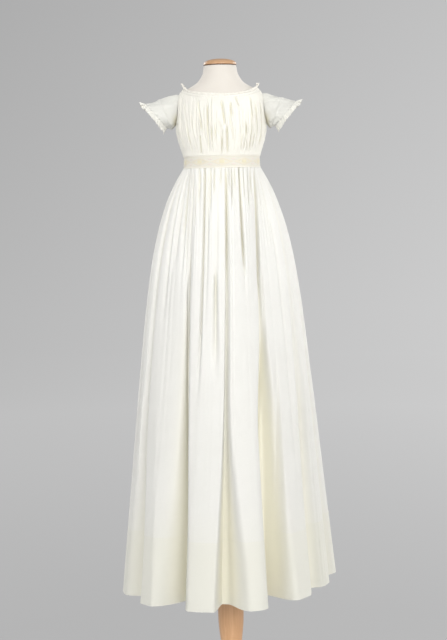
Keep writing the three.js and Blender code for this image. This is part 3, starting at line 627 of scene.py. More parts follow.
def neckline_z(angle):
    s = np.sin(np.radians(angle))
    return NECK_SHOULDER_Z - np.where(s < 0, NECK_FRONT_DROP, NECK_BACK_DROP) * np.abs(s) ** 1.5


def casing_drop(angle):
    return CASING_WIDTH * mix(0.62, 0.95, np.abs(np.sin(np.radians(angle))))


def bodice_top_z(angle):
    return neckline_z(angle) - casing_drop(angle) - SEAM_GAP


def ease_at(z):
    ease = mix(BODICE_EASE, SHOULDER_EASE, smooth((z - SHOULDERS_Z) / SHOULDERS_OVER))
    return ease + BLOUSE * bell((z - BLOUSE_Z) / BLOUSE_REACH)


def armhole_inset(z, side_angle):
    middle = (ARMHOLE_BOTTOM + ARMHOLE_TOP) / 2
    q = np.clip((z - middle) / (ARMHOLE_TOP - middle), -1, 1)
    return side_angle * np.sqrt(1 - q * q)


def gather_wave(u, count, seed):
    """Uneven gathers: 0 on a crest and 1 in a furrow."""
    return furrowed(count * u + 0.3 * np.sin(5.1 * u + seed) + 0.18 * np.sin(13.7 * u + 2 * seed))


def spread(number, seed):
    """A number from 0 to 1 that differs for every number and seed, and is the same each time."""
    return math.modf(abs(math.sin(number * 12.9898 + seed * 78.233)) * 43758.5453)[0]


# The bodice's deeper furrows in front, listed one by one: the angle at its top and at its foot, the heights of both
# as shares of the cloth's, half its width and its depth.
FRONT_FURROWS = (
    (196, 207, 0.95, 0.08, 1.6, 2.6), (216, 224, 0.9, 0.15, 1.4, 1.6), (229, 233, 0.75, 0.04, 1.3, 1.3),
    (240, 244.6, 0.92, 0.42, 1.5, 2.6), (241, 238, 0.36, 0.02, 1.4, 2.6), (253, 251.5, 0.92, 0.04, 1.4, 2),
    (258, 256.6, 0.52, 0.04, 1.3, 1.5), (264, 262, 0.8, 0.3, 1.3, 1.2), (270.6, 274.6, 0.96, 0.5, 1.6, 3),
    (268.5, 271.4, 0.6, 0.1, 1.4, 1.5), (277, 279, 0.52, 0.02, 1.5, 2.7), (282.7, 283.4, 0.92, 0.66, 1.4, 2.6),
    (290, 293.4, 1, 0.82, 1.4, 2.6), (281.5, 286.6, 0.62, 0.22, 1.5, 1.6), (296, 300, 0.5, 0.03, 1.3, 1.2),
    (301.6, 310, 0.6, 0.04, 1.4, 1.8), (313.3, 319, 0.78, 0.06, 1.5, 2), (320.5, 324.5, 0.85, 0.14, 1.4, 1.8),
    (330.5, 334, 0.85, 0.13, 1.6, 3), (340, 343, 0.75, 0.18, 1.5, 1.9),
)


def small_furrows(first, last, step, seed, share_deep):
    """Furrows every few degrees, uneven in place, length, width and depth. share_deep of them are deep."""
    rows = []
    for i in range(int((last - first) / step)):
        middle = first + (i + 0.2 + 0.6 * spread(i, seed)) * step
        lean = 3.5 * (spread(i, seed + 1) - 0.5)
        top = 1.02 - 0.55 * spread(i, seed + 2) ** 1.6
        foot = 0.5 * spread(i, seed + 3) ** 1.8
        deep = spread(i, seed + 4) < share_deep
        depth = (1.7 if deep else 0.5) + 0.9 * spread(i, seed + 5)
        rows.append((middle - lean, middle + lean, top, foot, 1.0 + 0.5 * spread(i, seed + 6), depth))
    return rows


def furrow_depth(angle, z, v, rows):
    """How far the cloth sinks in furrows, each with a soft roll of cloth beside it."""
    reach = along_table(FORM_SECTIONS, 1, z)
    total = 0
    for top_angle, foot_angle, top, foot, width, depth in rows:
        t = (top - v) / (top - foot)
        inside = smooth((t + 0.02) / 0.16) * smooth((1.02 - t) / 0.22)
        bow = 0.5 * math.sin(top_angle * 1.7) * np.sin(np.pi * np.clip(t, 0, 1))
        away = np.radians(angle - mix(top_angle, foot_angle, t) - bow) * reach / width
        rolls = 0.3 * bell((away - 2.4) / 1.5) + 0.2 * bell((away + 2.4) / 1.5)
        total = total + depth * inside * (bell(away) - rolls)
    return total


# The bodice's panels: first and last angle, the cloth's flat width and height in metres and its flat area, the step
# in degrees, seed and deep share of its small furrows, and the panel's own seed.
BODICE_PANELS = {
    "bodice_front": (180, 360, (0.3, 0.125), 0.0335, (4.6, 0.4, 0.1), 0.4),
    "bodice_back_left": (0, 90, (0.14, 0.122), 0.016, (4.2, 1.9, 0.45), 1.9),
    "bodice_back_right": (90, 180, (0.14, 0.122), 0.016, (4.2, 3.1, 0.45), 3.1),
}
BODICE_COLUMNS, BODICE_ROWS = 230, 44  # for a quarter of the way round
PINCH_STEP, PINCH_DEPTH = 2.9, 0.8  # the small gathers at the panel's edges: degrees for each, and depth
ROLL_STEP, ROLL_DEPTH = 13, 0.7  # the soft swells between its edges, likewise
FURROW_DEPTH = 1.35


def bodice_panel(name, first, last, furrows, seed, cut):
    u, v = grid(BODICE_COLUMNS * (last - first) // 90, BODICE_ROWS)
    armhole = ARMHOLE_FRONT_ANGLE if first >= 180 else ARMHOLE_BACK_ANGLE
    edge_z = mix(BODICE_FOOT_Z, bodice_top_z(0), v)
    insets = [
        SEAM_ANGLE + (armhole_inset(edge_z, armhole) if abs(math.cos(math.radians(edge))) > 0.9 else 0)
        for edge in (first, last)
    ]
    level = mix(first, last, u)
    angle = level + insets[0] * np.maximum(0, 1 - (level - first) / ARMHOLE_REACH)
    angle = angle - insets[1] * np.maximum(0, 1 - (last - level) / ARMHOLE_REACH)
    z = mix(BODICE_FOOT_Z, bodice_top_z(angle), v)
    sides = smooth(u * 30) * smooth((1 - u) * 30)
    near_edge = bell((z - BODICE_FOOT_Z) / 12) + 0.8 * bell((bodice_top_z(angle) - z) / 10)
    pinch = PINCH_DEPTH * gather_wave(u, round((last - first) / PINCH_STEP), 5 * seed) ** 1.5
    soft = ROLL_DEPTH * gather_wave(u, (last - first) / ROLL_STEP, seed + 1.5 * v) * np.sin(np.pi * v)
    laid = FURROW_DEPTH * smooth(v / 0.03) * furrow_depth(angle, z, v, furrows)
    furrow = sides * (laid + pinch * near_edge + soft)
    outer = on_form(angle, z, ease_at(z) + 0.5 - furrow)
    # The mark "deep" paints warm bounce light into the deeper furrows.
    return shell(name, outer, COTTON, cut, BODICE_COTTON, marks={"deep": smooth((furrow - 0.8) / 3.0)})


def add_bodice():
    for node, (first, last, flat, area, (step, small_seed, share_deep), seed) in BODICE_PANELS.items():
        first_free, last_free = (182, 359) if node == "bodice_front" else (first + 1, last - 1)
        furrows = small_furrows(first_free, last_free, step, small_seed, share_deep)
        if node == "bodice_front":
            furrows = list(FRONT_FURROWS) + furrows
        piece = keep(bodice_panel(f"{node}_cloth", first, last, furrows, seed, flat), "gown_cotton", node)


# The neck's casing and the frill on it run from one side of the back opening round to the other.
NECK_FIRST, NECK_LAST = 90.2, 449.8
CASING_WALL, CASING_PUFF, CASING_GATHERS, CASING_GATHER_DEPTH = 0.8, 0.9, 84, 0.45
FRILL_WALL, FRILL_LEAN = 0.4, 0.35
NECK_SCALLOPS, NECK_WAVES, NECK_CURLS = 74, 37, 9


def add_neck_trimming():
    u, v = grid(700, 6)
    angle = mix(NECK_FIRST, NECK_LAST, u)
    z = neckline_z(angle) - casing_drop(angle) * (1 - v)
    draw = CASING_GATHER_DEPTH * gather_wave(u, CASING_GATHERS, 2.2) * np.sin(np.pi * np.clip(v * 1.1, 0, 1)) ** 0.6
    outer = on_form(angle, z, mix(ease_at(z), SHOULDER_EASE, 0.5) + CASING_PUFF * np.sin(np.pi * v) - draw)
    casing = shell("neck_casing_cloth", outer, CASING_WALL, (0.52, 0.006), CASING_COTTON)
    keep(casing, "trimming", "neck_casing")

    u, v = grid(900, 9)
    angle = mix(NECK_FIRST, NECK_LAST, u)
    z = neckline_z(angle)
    foot = on_form(angle, z, mix(ease_at(z), SHOULDER_EASE, 0.5))
    flat = unit(form_normal(angle, z) * [1, 1, 0])
    rise = unit(point(0, 0, 1) + flat * FRILL_LEAN)
    on_shoulder = np.abs(np.cos(np.radians(angle))) ** 6
    scallop = 0.9 * np.abs(np.sin(np.pi * NECK_SCALLOPS * u)) ** 0.7
    height = (3.2 + 6.2 * on_shoulder + 0.7 * np.sin(31 * u) + scallop) * v
    ripple = (0.2 + (0.6 + 1.9 * on_shoulder) * v) * wave(NECK_WAVES * u + 0.25 * np.sin(17 * u))
    curl = 1.4 * on_shoulder * v * wave(NECK_CURLS * u)
    outer = foot + rise * (SEAM_GAP + height)[..., None] + flat * (ripple * 0.8 + curl - 0.4 * v)[..., None]
    frill = shell("neck_frill_cloth", outer, FRILL_WALL, (0.62, 0.008), NECK_COTTON)
    keep(frill, "trimming", "neck_frill")


# ---- The waistband
BAND_MOTIFS = 10
BAND_RELIEF = 0.8
SATIN_STITCHES, SATIN_RELIEF = 420, 0.06
EYELETS = 150
CORD_INSET, CORD_LIFT = 1.1, 0.35  # from the band's edge and off its face


def band_work(turns, v):
    """Raised work on the band: a chain of lozenges with an oval in each, small leaves between them, and a row of
    eyelet stitches beside each edge. Returns its height, 0 to 1, and its hue."""
    along = np.abs((turns * BAND_MOTIFS) % 1 - 0.5) * 2  # 0 in the middle of a lozenge, 1 between two
    across = np.abs(v - 0.5) * 2
    reach = along + across / 0.62
    outline = bell((reach - 0.86) / 0.12)
    second = 0.75 * bell((reach - 0.58) / 0.07)
    oval = smooth((1 - np.hypot(along / 0.3, across / 0.3)) / 0.4)
    leaf = smooth((1 - np.hypot((1 - along) / 0.3, (across - 0.4) / 0.16)) / 0.5)
    ladder = bell((across - 0.74) / 0.045) * (0.45 + 0.55 * np.cos(2 * np.pi * turns * EYELETS))
    height = np.clip(np.max([outline, second, oval, 0.8 * leaf, 0.7 * ladder], axis=0), 0, 1)
    return height, np.clip(leaf + 0.6 * outline * (1 - oval), 0, 1)


def add_waistband():
    u, v = grid(950, 24)
    angle = mix(NECK_FIRST, NECK_LAST, u)
    z = WAIST_Z + BAND_HEIGHT * v
    height, hue = band_work(angle / 360, v)
    satin = SATIN_RELIEF * wave(angle / 360 * SATIN_STITCHES) * height
    ripple = 0.125 * wave(angle / 45) * np.sin(np.pi * v)
    outer = on_form(angle, z, BAND_EASE + BAND_RELIEF * height + satin + ripple)
    inner = on_form(angle, z, BAND_EASE - BAND_WALL)
    marks = {"worked": height, "hue": hue}
    band = shell("waistband_cloth", outer, 0, (0.44, 0.024), BAND_WORK, inner=inner, marks=marks)
    keep(band, "trimming", "waistband")
    turns = np.linspace(NECK_FIRST + 0.4, NECK_LAST - 0.4, 1100)
    for name, z in (("lower", WAIST_Z + CORD_INSET), ("upper", WAIST_Z + BAND_HEIGHT - CORD_INSET)):
        path = on_form(turns, z, BAND_EASE + CORD_LIFT)
        keep(cord(f"waistband_cord_{name}", path, form_normal(turns, z)), "trimming")


# ---- The skirt
def valleys_beside(fold):
    """The number of the valley before each place, how far the place lies past it, and the rows of SKIRT_VALLEYS
    for it and the next. Numbers may run past the last row."""
    index = np.floor(fold + 1e-9).astype(int)
    beside = []
    for number in (index, index + 1):
        rows = SKIRT_VALLEYS[number % FOLDS_ROUND].copy()
        rows[..., :2] += 360 * (number // FOLDS_ROUND)[..., None]
        beside.append(rows)
    return index, fold - index, *beside


def crest_radius(angle):
    first = HEM_CRESTS[0, 0]
    return along_table(HEM_CRESTS, 1, (angle - first) % 360 + first)


def opening(x):
    return np.where(x >= 1, 0, 0.5 + 0.5 * np.cos(np.pi * np.minimum(x, 1)))


# Where a large fold leans over: the fold, half the width of the cloth that leans with it, and how far round it lies
# off its line, all in folds, at five heights from the waist to the hem.
LEANING_FOLDS = (
    (1.98, 0.34, (0, -0.04, -0.05, -0.02, 0)),
    (4.1, 0.42, (0.2, 0.06, 0.02, 0, 0)),
    (8.1, 0.4, (0.12, 0.1, 0.04, 0, 0)),
    (10.9, 0.4, (-0.14, -0.12, -0.08, 0, 0)),
)

# How the large folds open down the skirt, one row for each valley: its width near the waist as a share of its
# width at the hem, where down the skirt it starts to widen and where it has its full width, and how crisp its side
# is before it and after it, from 0 to 1.
FOLD_OPENINGS = np.array([
    (0.6, 0.1, 0.6, 0, 0.5), (0.35, 0.5, 1, 0, 1), (0.4, 0.4, 0.9, 0, 0.6),
    (0.26, 0.5, 1, 0.7, 0), (0.3, 0.3, 0.62, 0.6, 0.4), (0.5, 0.2, 0.8, 0.2, 0.6),
    (0.5, 0.1, 0.6, 0.5, 0), (0.4, 0.3, 0.8, 0, 1), (0.3, 0.4, 0.9, 1, 0.2),
    (0.35, 0.5, 0.95, 0.3, 1), (0.45, 0.2, 0.8, 0.8, 0), (0.3, 0.45, 0.95, 0, 1),
    (0.5, 0.2, 0.7, 0.6, 0.3),
])
NARROW_DEPTH = 0.12  # what would be left of a fold's depth where it has no width
VALLEY_GATHER_REACH = 0.3  # how far down the skirt the gather in each valley reaches


def leaning(fold, share):
    """The fold numbers whose shape shows at these places once the folds lean."""
    for middle, half_width, leans in LEANING_FOLDS:
        lean = np.interp(share, np.linspace(0, 1, len(leans)), leans)
        fold = fold - lean * bell((fold - middle) / half_width)
    return fold


def large_fold(index, share, away, side):
    """The depth of a large fold at a distance from its valley, as a share of its reach there. side is 0 before the
    valley and 1 after it."""
    start, opens, full, *crispness = np.moveaxis(FOLD_OPENINGS[index % FOLDS_ROUND], -1, 0)
    width = mix(start, 1, smooth((share - opens) / (full - opens)))
    soft = opening(away / width)
    soft = mix(soft, smooth(soft), 0.8)  # a flatter floor and crest, and steeper sides between them
    return mix(NARROW_DEPTH, 1, width) * mix(soft, smooth(smooth(soft)), crispness[side])


def under_band(share):
    """What is left of the gathers' depth where the band presses them flat."""
    return mix(0.3, 1, smooth(share / 0.02))


def fold_depth(fold, share):
    """How far the cloth lies in from the crest line: the two valleys beside it, and the small gathers."""
    fold = leaning(fold, share)
    index, p, here, after = valleys_beside(fold)
    large = here[..., 2] * large_fold(index, share, p / here[..., 4], 1)
    large = large + after[..., 2] * large_fold(index + 1, share, (1 - p) / after[..., 3], 0)
    depth = GATHER_AT_WAIST * under_band(share) + GATHER_PER_LENGTH * share
    nearest = np.round(p * GATHERS_PER_FOLD).astype(int)
    edge = (nearest == 0) | (nearest == GATHERS_PER_FOLD)
    reach = np.take_along_axis(here, np.clip(nearest, 1, 3)[..., None] + 4, -1)[..., 0]
    crisp = opening(np.abs(p * GATHERS_PER_FOLD - nearest) * 2) ** 2.5
    small = depth * crisp * (1 - smooth(share / np.where(edge, VALLEY_GATHER_REACH, reach)))
    return large * share**DEPTH_POWER + small


# Tucked edges, where the cloth sinks slowly behind a fold's steep edge. Columns: where the edge starts and ends
# round the skirt and down it, as in SKIRT_CREASES; how far before it the cloth starts to sink, at its start and its
# end, and how far after it the edge stands, likewise, in folds; its depth at its end.
TUCKED_EDGES = (
    (2, 2.02, 0.3, 1, 0.85, 0.38, 0.1, 0.4, 50),
    (4.36, 4.19, 0.42, 1, 0.2, 0.25, 0.04, 0.035, 30),
    (4.95, 4.93, 0.3, 1, 0.15, 0.15, 0.03, 0.03, 5),
    (8.3, 8.24, 0.4, 1, 0.25, 0.25, 0.05, 0.05, 12),
    (10.45, 10.4, 0.3, 1, 0.25, 0.25, 0.05, 0.05, 10),
)


def line_place(fold, share, at, to, top, foot):
    """How far along a line laid on the skirt each place is, 0 to 1, and how far round from it, in folds."""
    t = np.clip((share - top) / (foot - top), 0, 1)
    return t, (fold - mix(at, to, t) + FOLDS_ROUND / 2) % FOLDS_ROUND - FOLDS_ROUND / 2


def tuck_depth(fold, share):
    total = 0
    for *line, before, foot_before, after, foot_after, depth in TUCKED_EDGES:
        t, away = line_place(fold, share, *line)
        slope = np.clip(1 + away / mix(before, foot_before, t), 0, 1)
        edge = 1 - smooth(away / mix(after, foot_after, t))
        total = total + depth * t * np.where(away < 0, mix(slope, smooth(slope), 0.4) ** 1.15, edge)
    return total


def crease_depth(fold, share):
    """The creases listed in SKIRT_CREASES."""
    total = 0
    for at, to, top, foot, width, foot_width, depth in SKIRT_CREASES:
        t, away = line_place(fold, share, at, to, top, foot)
        starts = smooth((share - top) / 0.05 + (0.6 if top <= 0 else 0))
        ends = starts * (1 if foot >= 1 else smooth((1 - t) / 0.4))
        total = total + depth * ends * bell(away / mix(width, foot_width, t))
    return total


# The fine gathers under the band, in three sizes: how many in a fold, their depth, the share of the skirt's length
# over which they fade, and their seed.
FINE_GATHERS = ((9, 1.3, 0.075, 0.7), (14, 1.0, 0.04, 2.1), (5.5, 1.1, 0.16, 4.4))


def pleat_depth(fold, share):
    """The fine gathers under the band, which run out at different lengths."""
    turns = fold / FOLDS_ROUND
    total = 0
    for per_fold, depth, reach, seed in FINE_GATHERS:
        drift = 0.5 * wave(turns * 5, seed) + 0.3 * wave(turns * 23, 2 * seed)
        furrow = furrowed(round(per_fold * FOLDS_ROUND) * turns + drift) ** 1.5
        length = reach * (1 + 0.7 * wave(turns * 31, seed))
        total = total + depth * furrow * np.exp(-share / length) * (1 + 6 * share)
    return total * under_band(share)


def sunk(fold, share):
    """How far the cloth lies in from the crest line, in all."""
    return fold_depth(fold, share) + crease_depth(fold, share) + tuck_depth(fold, share) + pleat_depth(fold, share)


# CLEAR_SIDE holds the painted fold light off one wide side of a fold, so that it reads as lit as its crest.
CLEAR_SIDE, CLEAR_HALF_WIDTH = 1.62, 0.27  # a wide side of a fold that stays as white as its crest, in folds


def shaded(fold, share):
    """How much painted warm bounce light the cloth takes, by how far it sinks into a fold."""
    clear = 0.85 * bell((fold - CLEAR_SIDE) / CLEAR_HALF_WIDTH) * smooth((share - 0.3) / 0.2)
    return smooth(sunk(fold, share) / mix(9.0, 46.0, share)) * (1 - clear)


def skirt_point(fold, share):
    _, p, here, after = valleys_beside(fold)
    waist_angle = mix(here[..., 0], after[..., 0], p)
    hem_angle = mix(here[..., 1], after[..., 1], p)
    turn = np.radians(hem_angle)
    waist = on_form(waist_angle, WAIST_Z, SKIRT_EASE)
    radius = crest_radius(hem_angle)
    hem = point(radius * np.cos(turn), radius * np.sin(turn), 0)
    out = BLOOM_SHARE * (1 - np.exp(-share / BLOOM_LENGTH)) + (1 - BLOOM_SHARE) * share
    aside = smooth((np.abs(np.cos(turn)) - HANG_FROM) / HANG_OVER)
    place = mix(waist * [1, 1, 0], hem, out[..., None])
    place[..., 0] = mix(waist[..., 0], hem[..., 0], mix(share**HANG_POWER, out, aside))
    place = place - unit(place) * sunk(fold, share)[..., None]
    place[..., 2] = mix(WAIST_Z + 0.15, HEM_Z, share)
    return place


HEM_SHARE = DEEP_HEM / (WAIST_Z - HEM_Z)
HEM_SWELL = 0.25  # how far the doubled hem stands proud
SKIRT_ROWS = 84
HEM_SEAM_DROP = 0.0035  # of the stitches below the hem's edge, as a share of the skirt's length
SEAM_FOLDS = 0.005  # from a side seam to the cloth's edge
HEM_STITCH = 2.6, 2.4, 0.28  # length, gap and radius

# The skirt's panels: where each starts and ends, in folds, its columns, its flat width and length in metres, and its
# flat area.
SKIRT_PANELS = {
    "skirt_front": (SEAM_FOLDS, RIGHT_SEAM - SEAM_FOLDS, 560, (0.95, 0.815), 0.58),
    "skirt_back": (RIGHT_SEAM + SEAM_FOLDS, FOLDS_ROUND - SEAM_FOLDS, 480, (1.2, 0.815), 0.73),
}


def add_skirt():
    t = np.linspace(1, 0, SKIRT_ROWS + 1)
    shares = mix(t, t**2, 0.55)  # closer together under the band, where the skirt is gathered most
    for node, (first, last, columns, flat, area) in SKIRT_PANELS.items():
        fold, share = np.meshgrid(np.linspace(first, last, columns + 1), shares)
        outer = skirt_point(fold, share)
        normals = grid_normals(outer, False)
        outer = outer + normals * (HEM_SWELL * smooth((share - 1 + HEM_SHARE) / 0.004))[..., None]
        inner = outer - normals * np.where(share > 1 - HEM_SHARE, HEM_COTTON, COTTON)[..., None]
        # The mark "deep" paints warm bounce light into the folds, more as they sink deeper.
        marks = {"deep": shaded(fold, share)}
        cloth = shell(f"{node}_cloth", outer, 0, flat, SKIRT_COTTON, inner=inner, marks=marks, levels=1 - shares)
        keep(cloth, "gown_cotton", node)
        seam = sewn_line(np.linspace(first + 0.01, last - 0.01, 2400), 1 - HEM_SHARE + HEM_SEAM_DROP)
        stitch = keep(stitches(f"{node}_hem_stitches", *seam, *HEM_STITCH), "gown_cotton")


def sewn_line(fold, share):
    """Points on the skirt's outer face at one height, and the way out of the cloth there."""
    step = np.array([[0.002], [0], [-0.002]])
    rows = skirt_point(fold + 0 * step, share + step + 0 * fold)
    normals = grid_normals(rows, False)
    return rows[1] + normals[1] * 0.3, normals[1]


# ---- The sleeves
HEAD_GATHERS = ((1.1, 18, 0.0), (0.5, 39, 0.2))  # depth, how many round the sleeve, and how far round they drift
SLEEVE_TUCK = 0.56, 1.3  # where along the sleeve its sewn tuck lies, and its height
SLEEVE_FOLDS = ((1.3, 0.62, -0.1, 0.045), (1.1, 0.43, 0.08, 0.04))  # depth, turn, drift, half the width in turns
CUFF_WAVES, CUFF_SCALLOPS = 19, 52


def sleeve_point(side, turn, share):
    a = 2 * np.pi * turn
    across, along = np.cos(a), np.sin(a)
    middle_z = (ARMHOLE_TOP + ARMHOLE_BOTTOM) / 2
    z = middle_z + (ARMHOLE_TOP - middle_z - 3 * SEAM_GAP) * along
    limit = np.where(across > 0, ARMHOLE_BACK_ANGLE - SLEEVE_CLEAR_BACK, ARMHOLE_FRONT_ANGLE - SLEEVE_CLEAR_FRONT)
    armhole = on_form(limit * across, z, ease_at(z))
    up = (along + 1) / 2
    cuff_z = mix(CUFF_BOTTOM_Z, CUFF_TOP_Z, up)
    cuff = point(mix(CUFF_BOTTOM_X, CUFF_TOP_X, up), CUFF_MIDDLE_Y + CUFF_HALF_DEPTH * across, cuff_z)
    place = mix(armhole, cuff, share[..., None])
    centre = point(mix(ARMHOLE_CENTRE_X, CUFF_CENTRE_X, share), 0, mix(middle_z, CUFF_CENTRE_Z, share))
    middle = np.sin(np.pi * share)
    out = SLEEVE_PUFF * np.sin(np.pi * share**0.7) * (0.65 - 0.45 * along)
    head = np.maximum(0, along) * (1 - smooth(share / 0.8)) * smooth(share / 0.12)
    for depth, count, drift in HEAD_GATHERS:
        out = out + depth * head * wave(count * turn + drift * share)
    tuck, height = SLEEVE_TUCK
    out = out + height * smooth((share - tuck) / 0.015) * (1 - smooth((share - tuck - 0.015) / 0.12))
    out = out + 0.8 * bell((share - 1) / 0.1) * wave(23 * turn + 0.3 * wave(7 * turn))
    out = out + 1.5 * middle * wave(5 * turn + 0.7 * share, side)
    for depth, at, drift, width in SLEEVE_FOLDS:
        out = out - depth * middle * bell(np.sin(np.pi * (turn - at + drift * share)) / width)
    place = place + unit(place - centre) * out[..., None]
    place[..., 0] *= side
    return place


def ring(columns, rows, side):
    """Turns and shares for a ring that runs counterclockwise on either side."""
    turn, share = np.meshgrid(np.arange(columns) / columns, np.linspace(0, 1, rows + 1))
    return (turn if side > 0 else 1 - turn), share


def add_sleeve(side, name):
    turn, share = ring(300, 44, side)
    outer = sleeve_point(side, turn, share)
    # The mark "deep" paints shade on the sleeve's underside, near the armhole.
    marks = {"deep": smooth(-wave(turn) / 0.8) * (1 - smooth(share / 0.45))}
    cloth = shell(f"sleeve_{name}_cloth", outer, COTTON, (0.26, 0.062), SLEEVE_COTTON, closed=True, marks=marks)
    keep(cloth, "gown_cotton", f"sleeve_{name}")

    turn, v = ring(560, 8, side)
    edge = sleeve_point(side, turn, 1 + 0 * turn)
    before = sleeve_point(side, turn, 0.985 + 0 * turn)
    out = unit(np.cross(np.roll(edge, -1, 1) - np.roll(edge, 1, 1), edge - before))
    outward = unit(point(CUFF_TOP_Z - CUFF_BOTTOM_Z, 0, CUFF_BOTTOM_X - CUFF_TOP_X) * [side, 1, 1])
    run = unit(outward + out * 0.5)
    scallop = 1.2 * np.abs(np.sin(np.pi * CUFF_SCALLOPS * turn)) ** 0.7
    upper = np.maximum(0, wave(turn)) ** 6
    length = (8.6 + scallop + 1.6 * upper + 0.7 * wave(7 * turn)) * v
    ripple = v * (2.9 + 1.6 * upper) * wave(CUFF_WAVES * turn + 0.3 * wave(7 * turn))
    ripple = ripple + 0.7 * v * wave(41 * turn) + 2.2 * upper * v
    outer = edge + run * (SEAM_GAP + 0.2 + length)[..., None] + out * ripple[..., None]
    frill = shell(f"sleeve_frill_{name}_cloth", outer, FRILL_WALL, (0.38, 0.01), FRILL_COTTON, closed=True)
    keep(frill, "trimming", f"sleeve_frill_{name}")


# ---- The closing at the back
PLACKET_WIDTH, PLACKET_WALL, PLACKET_COTTON = 11.0, 1.2, 1.0
PLACKET_SEAM = 0.82  # how far out its stitches lie, as a share of half its width
PLACKET_STITCH = 1.8, 1.4, 0.22  # length, gap and radius
BUTTON_LEVELS = (0.62, 0.95)
BUTTON_SPOKES, BUTTON_SIDES, BUTTON_RINGS = 18, 48, 30

# A thread button's section: radius and height, from the middle of its foot round to the middle of its top.
BUTTON_SECTION = np.array([
    (0, 0), (3.8, 0), (4.3, 0.35), (4.5, 0.9), (4.4, 1.5), (3.9, 1.95), (3.3, 2.0), (2.8, 1.6), (2.0, 1.35),
    (1.2, 1.4), (0.7, 1.75), (0.25, 1.9), (0, 1.92),
])
BUTTON_TOP = 8.0  # how far along the section its top begins


def on_placket(z):
    return ease_at(z) + SEAM_GAP + PLACKET_WALL


def placket_reach(z):
    """Half the placket's width, in degrees."""
    return np.degrees(PLACKET_WIDTH / 2 / along_table(FORM_SECTIONS, 1, z))


def add_back_closing():
    u, v = grid(30, 80)
    top = float(bodice_top_z(90))
    z = mix(BODICE_FOOT_Z, top, v)
    off = 2 * u - 1
    pucker = 0.18 * wave(21 * v) * np.abs(off) - 0.2 * bell((np.abs(off) - PLACKET_SEAM) / 0.05)
    outer = on_form(90 + off * placket_reach(z), z, on_placket(z) + pucker)
    placket = shell("back_placket_cloth", outer, PLACKET_COTTON, (0.011, 0.118), BODICE_COTTON)
    keep(placket, "gown_cotton", "back_placket")
    line = np.linspace(BODICE_FOOT_Z + 1, top - 1, 300)
    for name, edge in (("left", -PLACKET_SEAM), ("right", PLACKET_SEAM)):
        angles = 90 + edge * placket_reach(line)
        path = on_form(angles, line, on_placket(line) - 0.05)
        seam = stitches(f"placket_stitches_{name}", path, form_normal(angles, line), *PLACKET_STITCH)
        keep(seam, "gown_cotton")
    middle, neck = (mix(BODICE_FOOT_Z, top, share) for share in BUTTON_LEVELS)
    for node, z_seat, lift in (
        ("button_waist", WAIST_Z + BAND_HEIGHT / 2, BAND_EASE + BAND_RELIEF),
        ("button_middle", middle, on_placket(middle)),
        ("button_neck", neck, on_placket(neck)),
    ):
        add_button(node, on_form(90.0, z_seat, lift + SEAM_GAP), form_normal(90.0, z_seat))


def add_button(node, foot, out):
    """A thread button: a ring wound over with thread in spokes, its knot in the middle."""
    run = run_along(BUTTON_SECTION)
    at = np.linspace(0, run[-1], BUTTON_RINGS)
    radius, height = (np.interp(at, run, column) for column in BUTTON_SECTION.T)
    turn = round_turns(BUTTON_SIDES)
    on_top = (at > BUTTON_TOP) * smooth(radius / 1.5) * smooth((4.2 - radius) / 0.8)
    spokes = 0.12 * np.cos(BUTTON_SPOKES * turn) * on_top[:, None]
    side = unit(np.cross([1.0, 0, 0], out))
    across = np.cross(out, side)
    around = across * np.cos(turn)[:, None] + side * np.sin(turn)[:, None]
    rings = foot + around * radius[:, None, None] + out * (height[:, None] + spokes)[..., None]
    button = capped(f"{node}_thread", rings[1:-1], rings[0, 0], rings[-1, 0], SEWING, sharp=80)
    keep(button, "thread_button", node)


# ---- Floor, light and camera
# The lamps: place, size, watts and colour.
LAMPS = {
    "key": ((1.3, -3.7, 2.2), 2.0, 73, (1.0, 0.99, 0.97)),
    "fill": ((-2.4, -3.2, 1.7), 2.6, 74, (1.0, 1.0, 1.0)),
    "side": ((3.3, -1.5, 1.6), 2.2, 30, (1.0, 1.0, 1.0)),
    "front": ((-0.2, -4.3, 1.1), 1.4, 18, (1.0, 1.0, 0.99)),
    "top": ((0.3, 0.4, 4.2), 2.5, 12, (1.0, 1.0, 1.0)),
    "rear_left": ((-2.6, 3.0, 2.4), 2.6, 70, (1.0, 0.995, 0.98)),
    "rear_right": ((3.0, 2.6, 2.0), 2.6, 80, (1.0, 0.995, 0.98)),
}
LIT_HEIGHT = 0.75  # where the lamps point, on the stand's axis
SKY = 0.42
COVE_REACH, COVE_CURVE, COVE_HEIGHT = 7000.0, 3000.0, 9000.0
CAMERA_AT = (-0.003, -3.0, 1.001)
CAMERA_TILT, CAMERA_ROLL = 4.41, 1.15
CAMERA_SENSOR, CAMERA_LENS = 36.0, 87.4


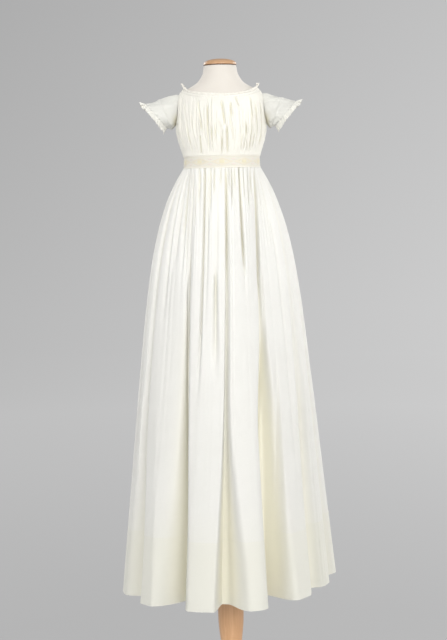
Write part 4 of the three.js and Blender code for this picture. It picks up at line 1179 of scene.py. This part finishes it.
def add_studio():
    """A round cove of pale paper, which rises all round the stand, with large soft lights inside it."""
    edge = COVE_REACH + COVE_CURVE
    bend = [
        (COVE_REACH + COVE_CURVE * math.sin(t), COVE_CURVE - COVE_CURVE * math.cos(t))
        for t in np.linspace(0, math.pi / 2, 24)
    ]
    rings = lathe([(r, 0.0) for r in (400, 1500, 3500)] + bend + [(edge, COVE_HEIGHT)])
    numbers = np.arange(rings[..., 0].size).reshape(rings.shape[:2])
    faces = corners(numbers, True)[:, ::-1].tolist() + [numbers[0].tolist()]
    make("studio_floor", rings.reshape(-1, 3), faces, floor_paint())

    world = bpy.data.worlds.new("studio")
    world.use_nodes = True
    sky = world.node_tree.nodes["Background"].inputs
    sky["Color"].default_value = (1.0, 1.0, 1.0, 1.0)
    sky["Strength"].default_value = SKY
    bpy.context.scene.world = world
    target = Vector((0, 0, LIT_HEIGHT))
    for name, (at, size, watts, colour) in LAMPS.items():
        lamp = bpy.data.lights.new(name, "AREA")
        lamp.shape, lamp.size, lamp.energy, lamp.color = "DISK", size, watts, colour
        light = bpy.data.objects.new(name, lamp)
        light.location = at
        light.rotation_euler = (Vector(at) - target).to_track_quat("Z", "Y").to_euler()
        light.visible_camera = False
        bpy.context.scene.collection.objects.link(light)


def add_camera():
    """The picture's camera, a little above the gown's middle, which leans as the stand does in the picture."""
    tilt, roll = math.radians(CAMERA_TILT), math.radians(CAMERA_ROLL)
    right, up = Vector((1, 0, 0)), Vector((0, math.sin(tilt), math.cos(tilt)))
    ahead = Vector((0, math.cos(tilt), -math.sin(tilt)))
    right, up = right * math.cos(roll) - up * math.sin(roll), right * math.sin(roll) + up * math.cos(roll)
    data = bpy.data.cameras.new("camera")
    data.sensor_width, data.lens = CAMERA_SENSOR, CAMERA_LENS
    data.clip_start, data.clip_end = 0.05, 60.0
    camera = bpy.data.objects.new("camera", data)
    turn = Matrix((right, up, -ahead)).transposed().to_4x4()
    camera.matrix_world = Matrix.Translation(CAMERA_AT) @ turn
    bpy.context.scene.collection.objects.link(camera)
    bpy.context.scene.camera = camera


def build():
    add_form()
    add_stand()
    add_waistband()
    add_bodice()
    add_neck_trimming()
    add_skirt()
    add_sleeve(1, "left")
    add_sleeve(-1, "right")
    add_back_closing()
    add_studio()
    add_camera()
    bpy.context.scene.view_settings.view_transform = "Standard"


build()
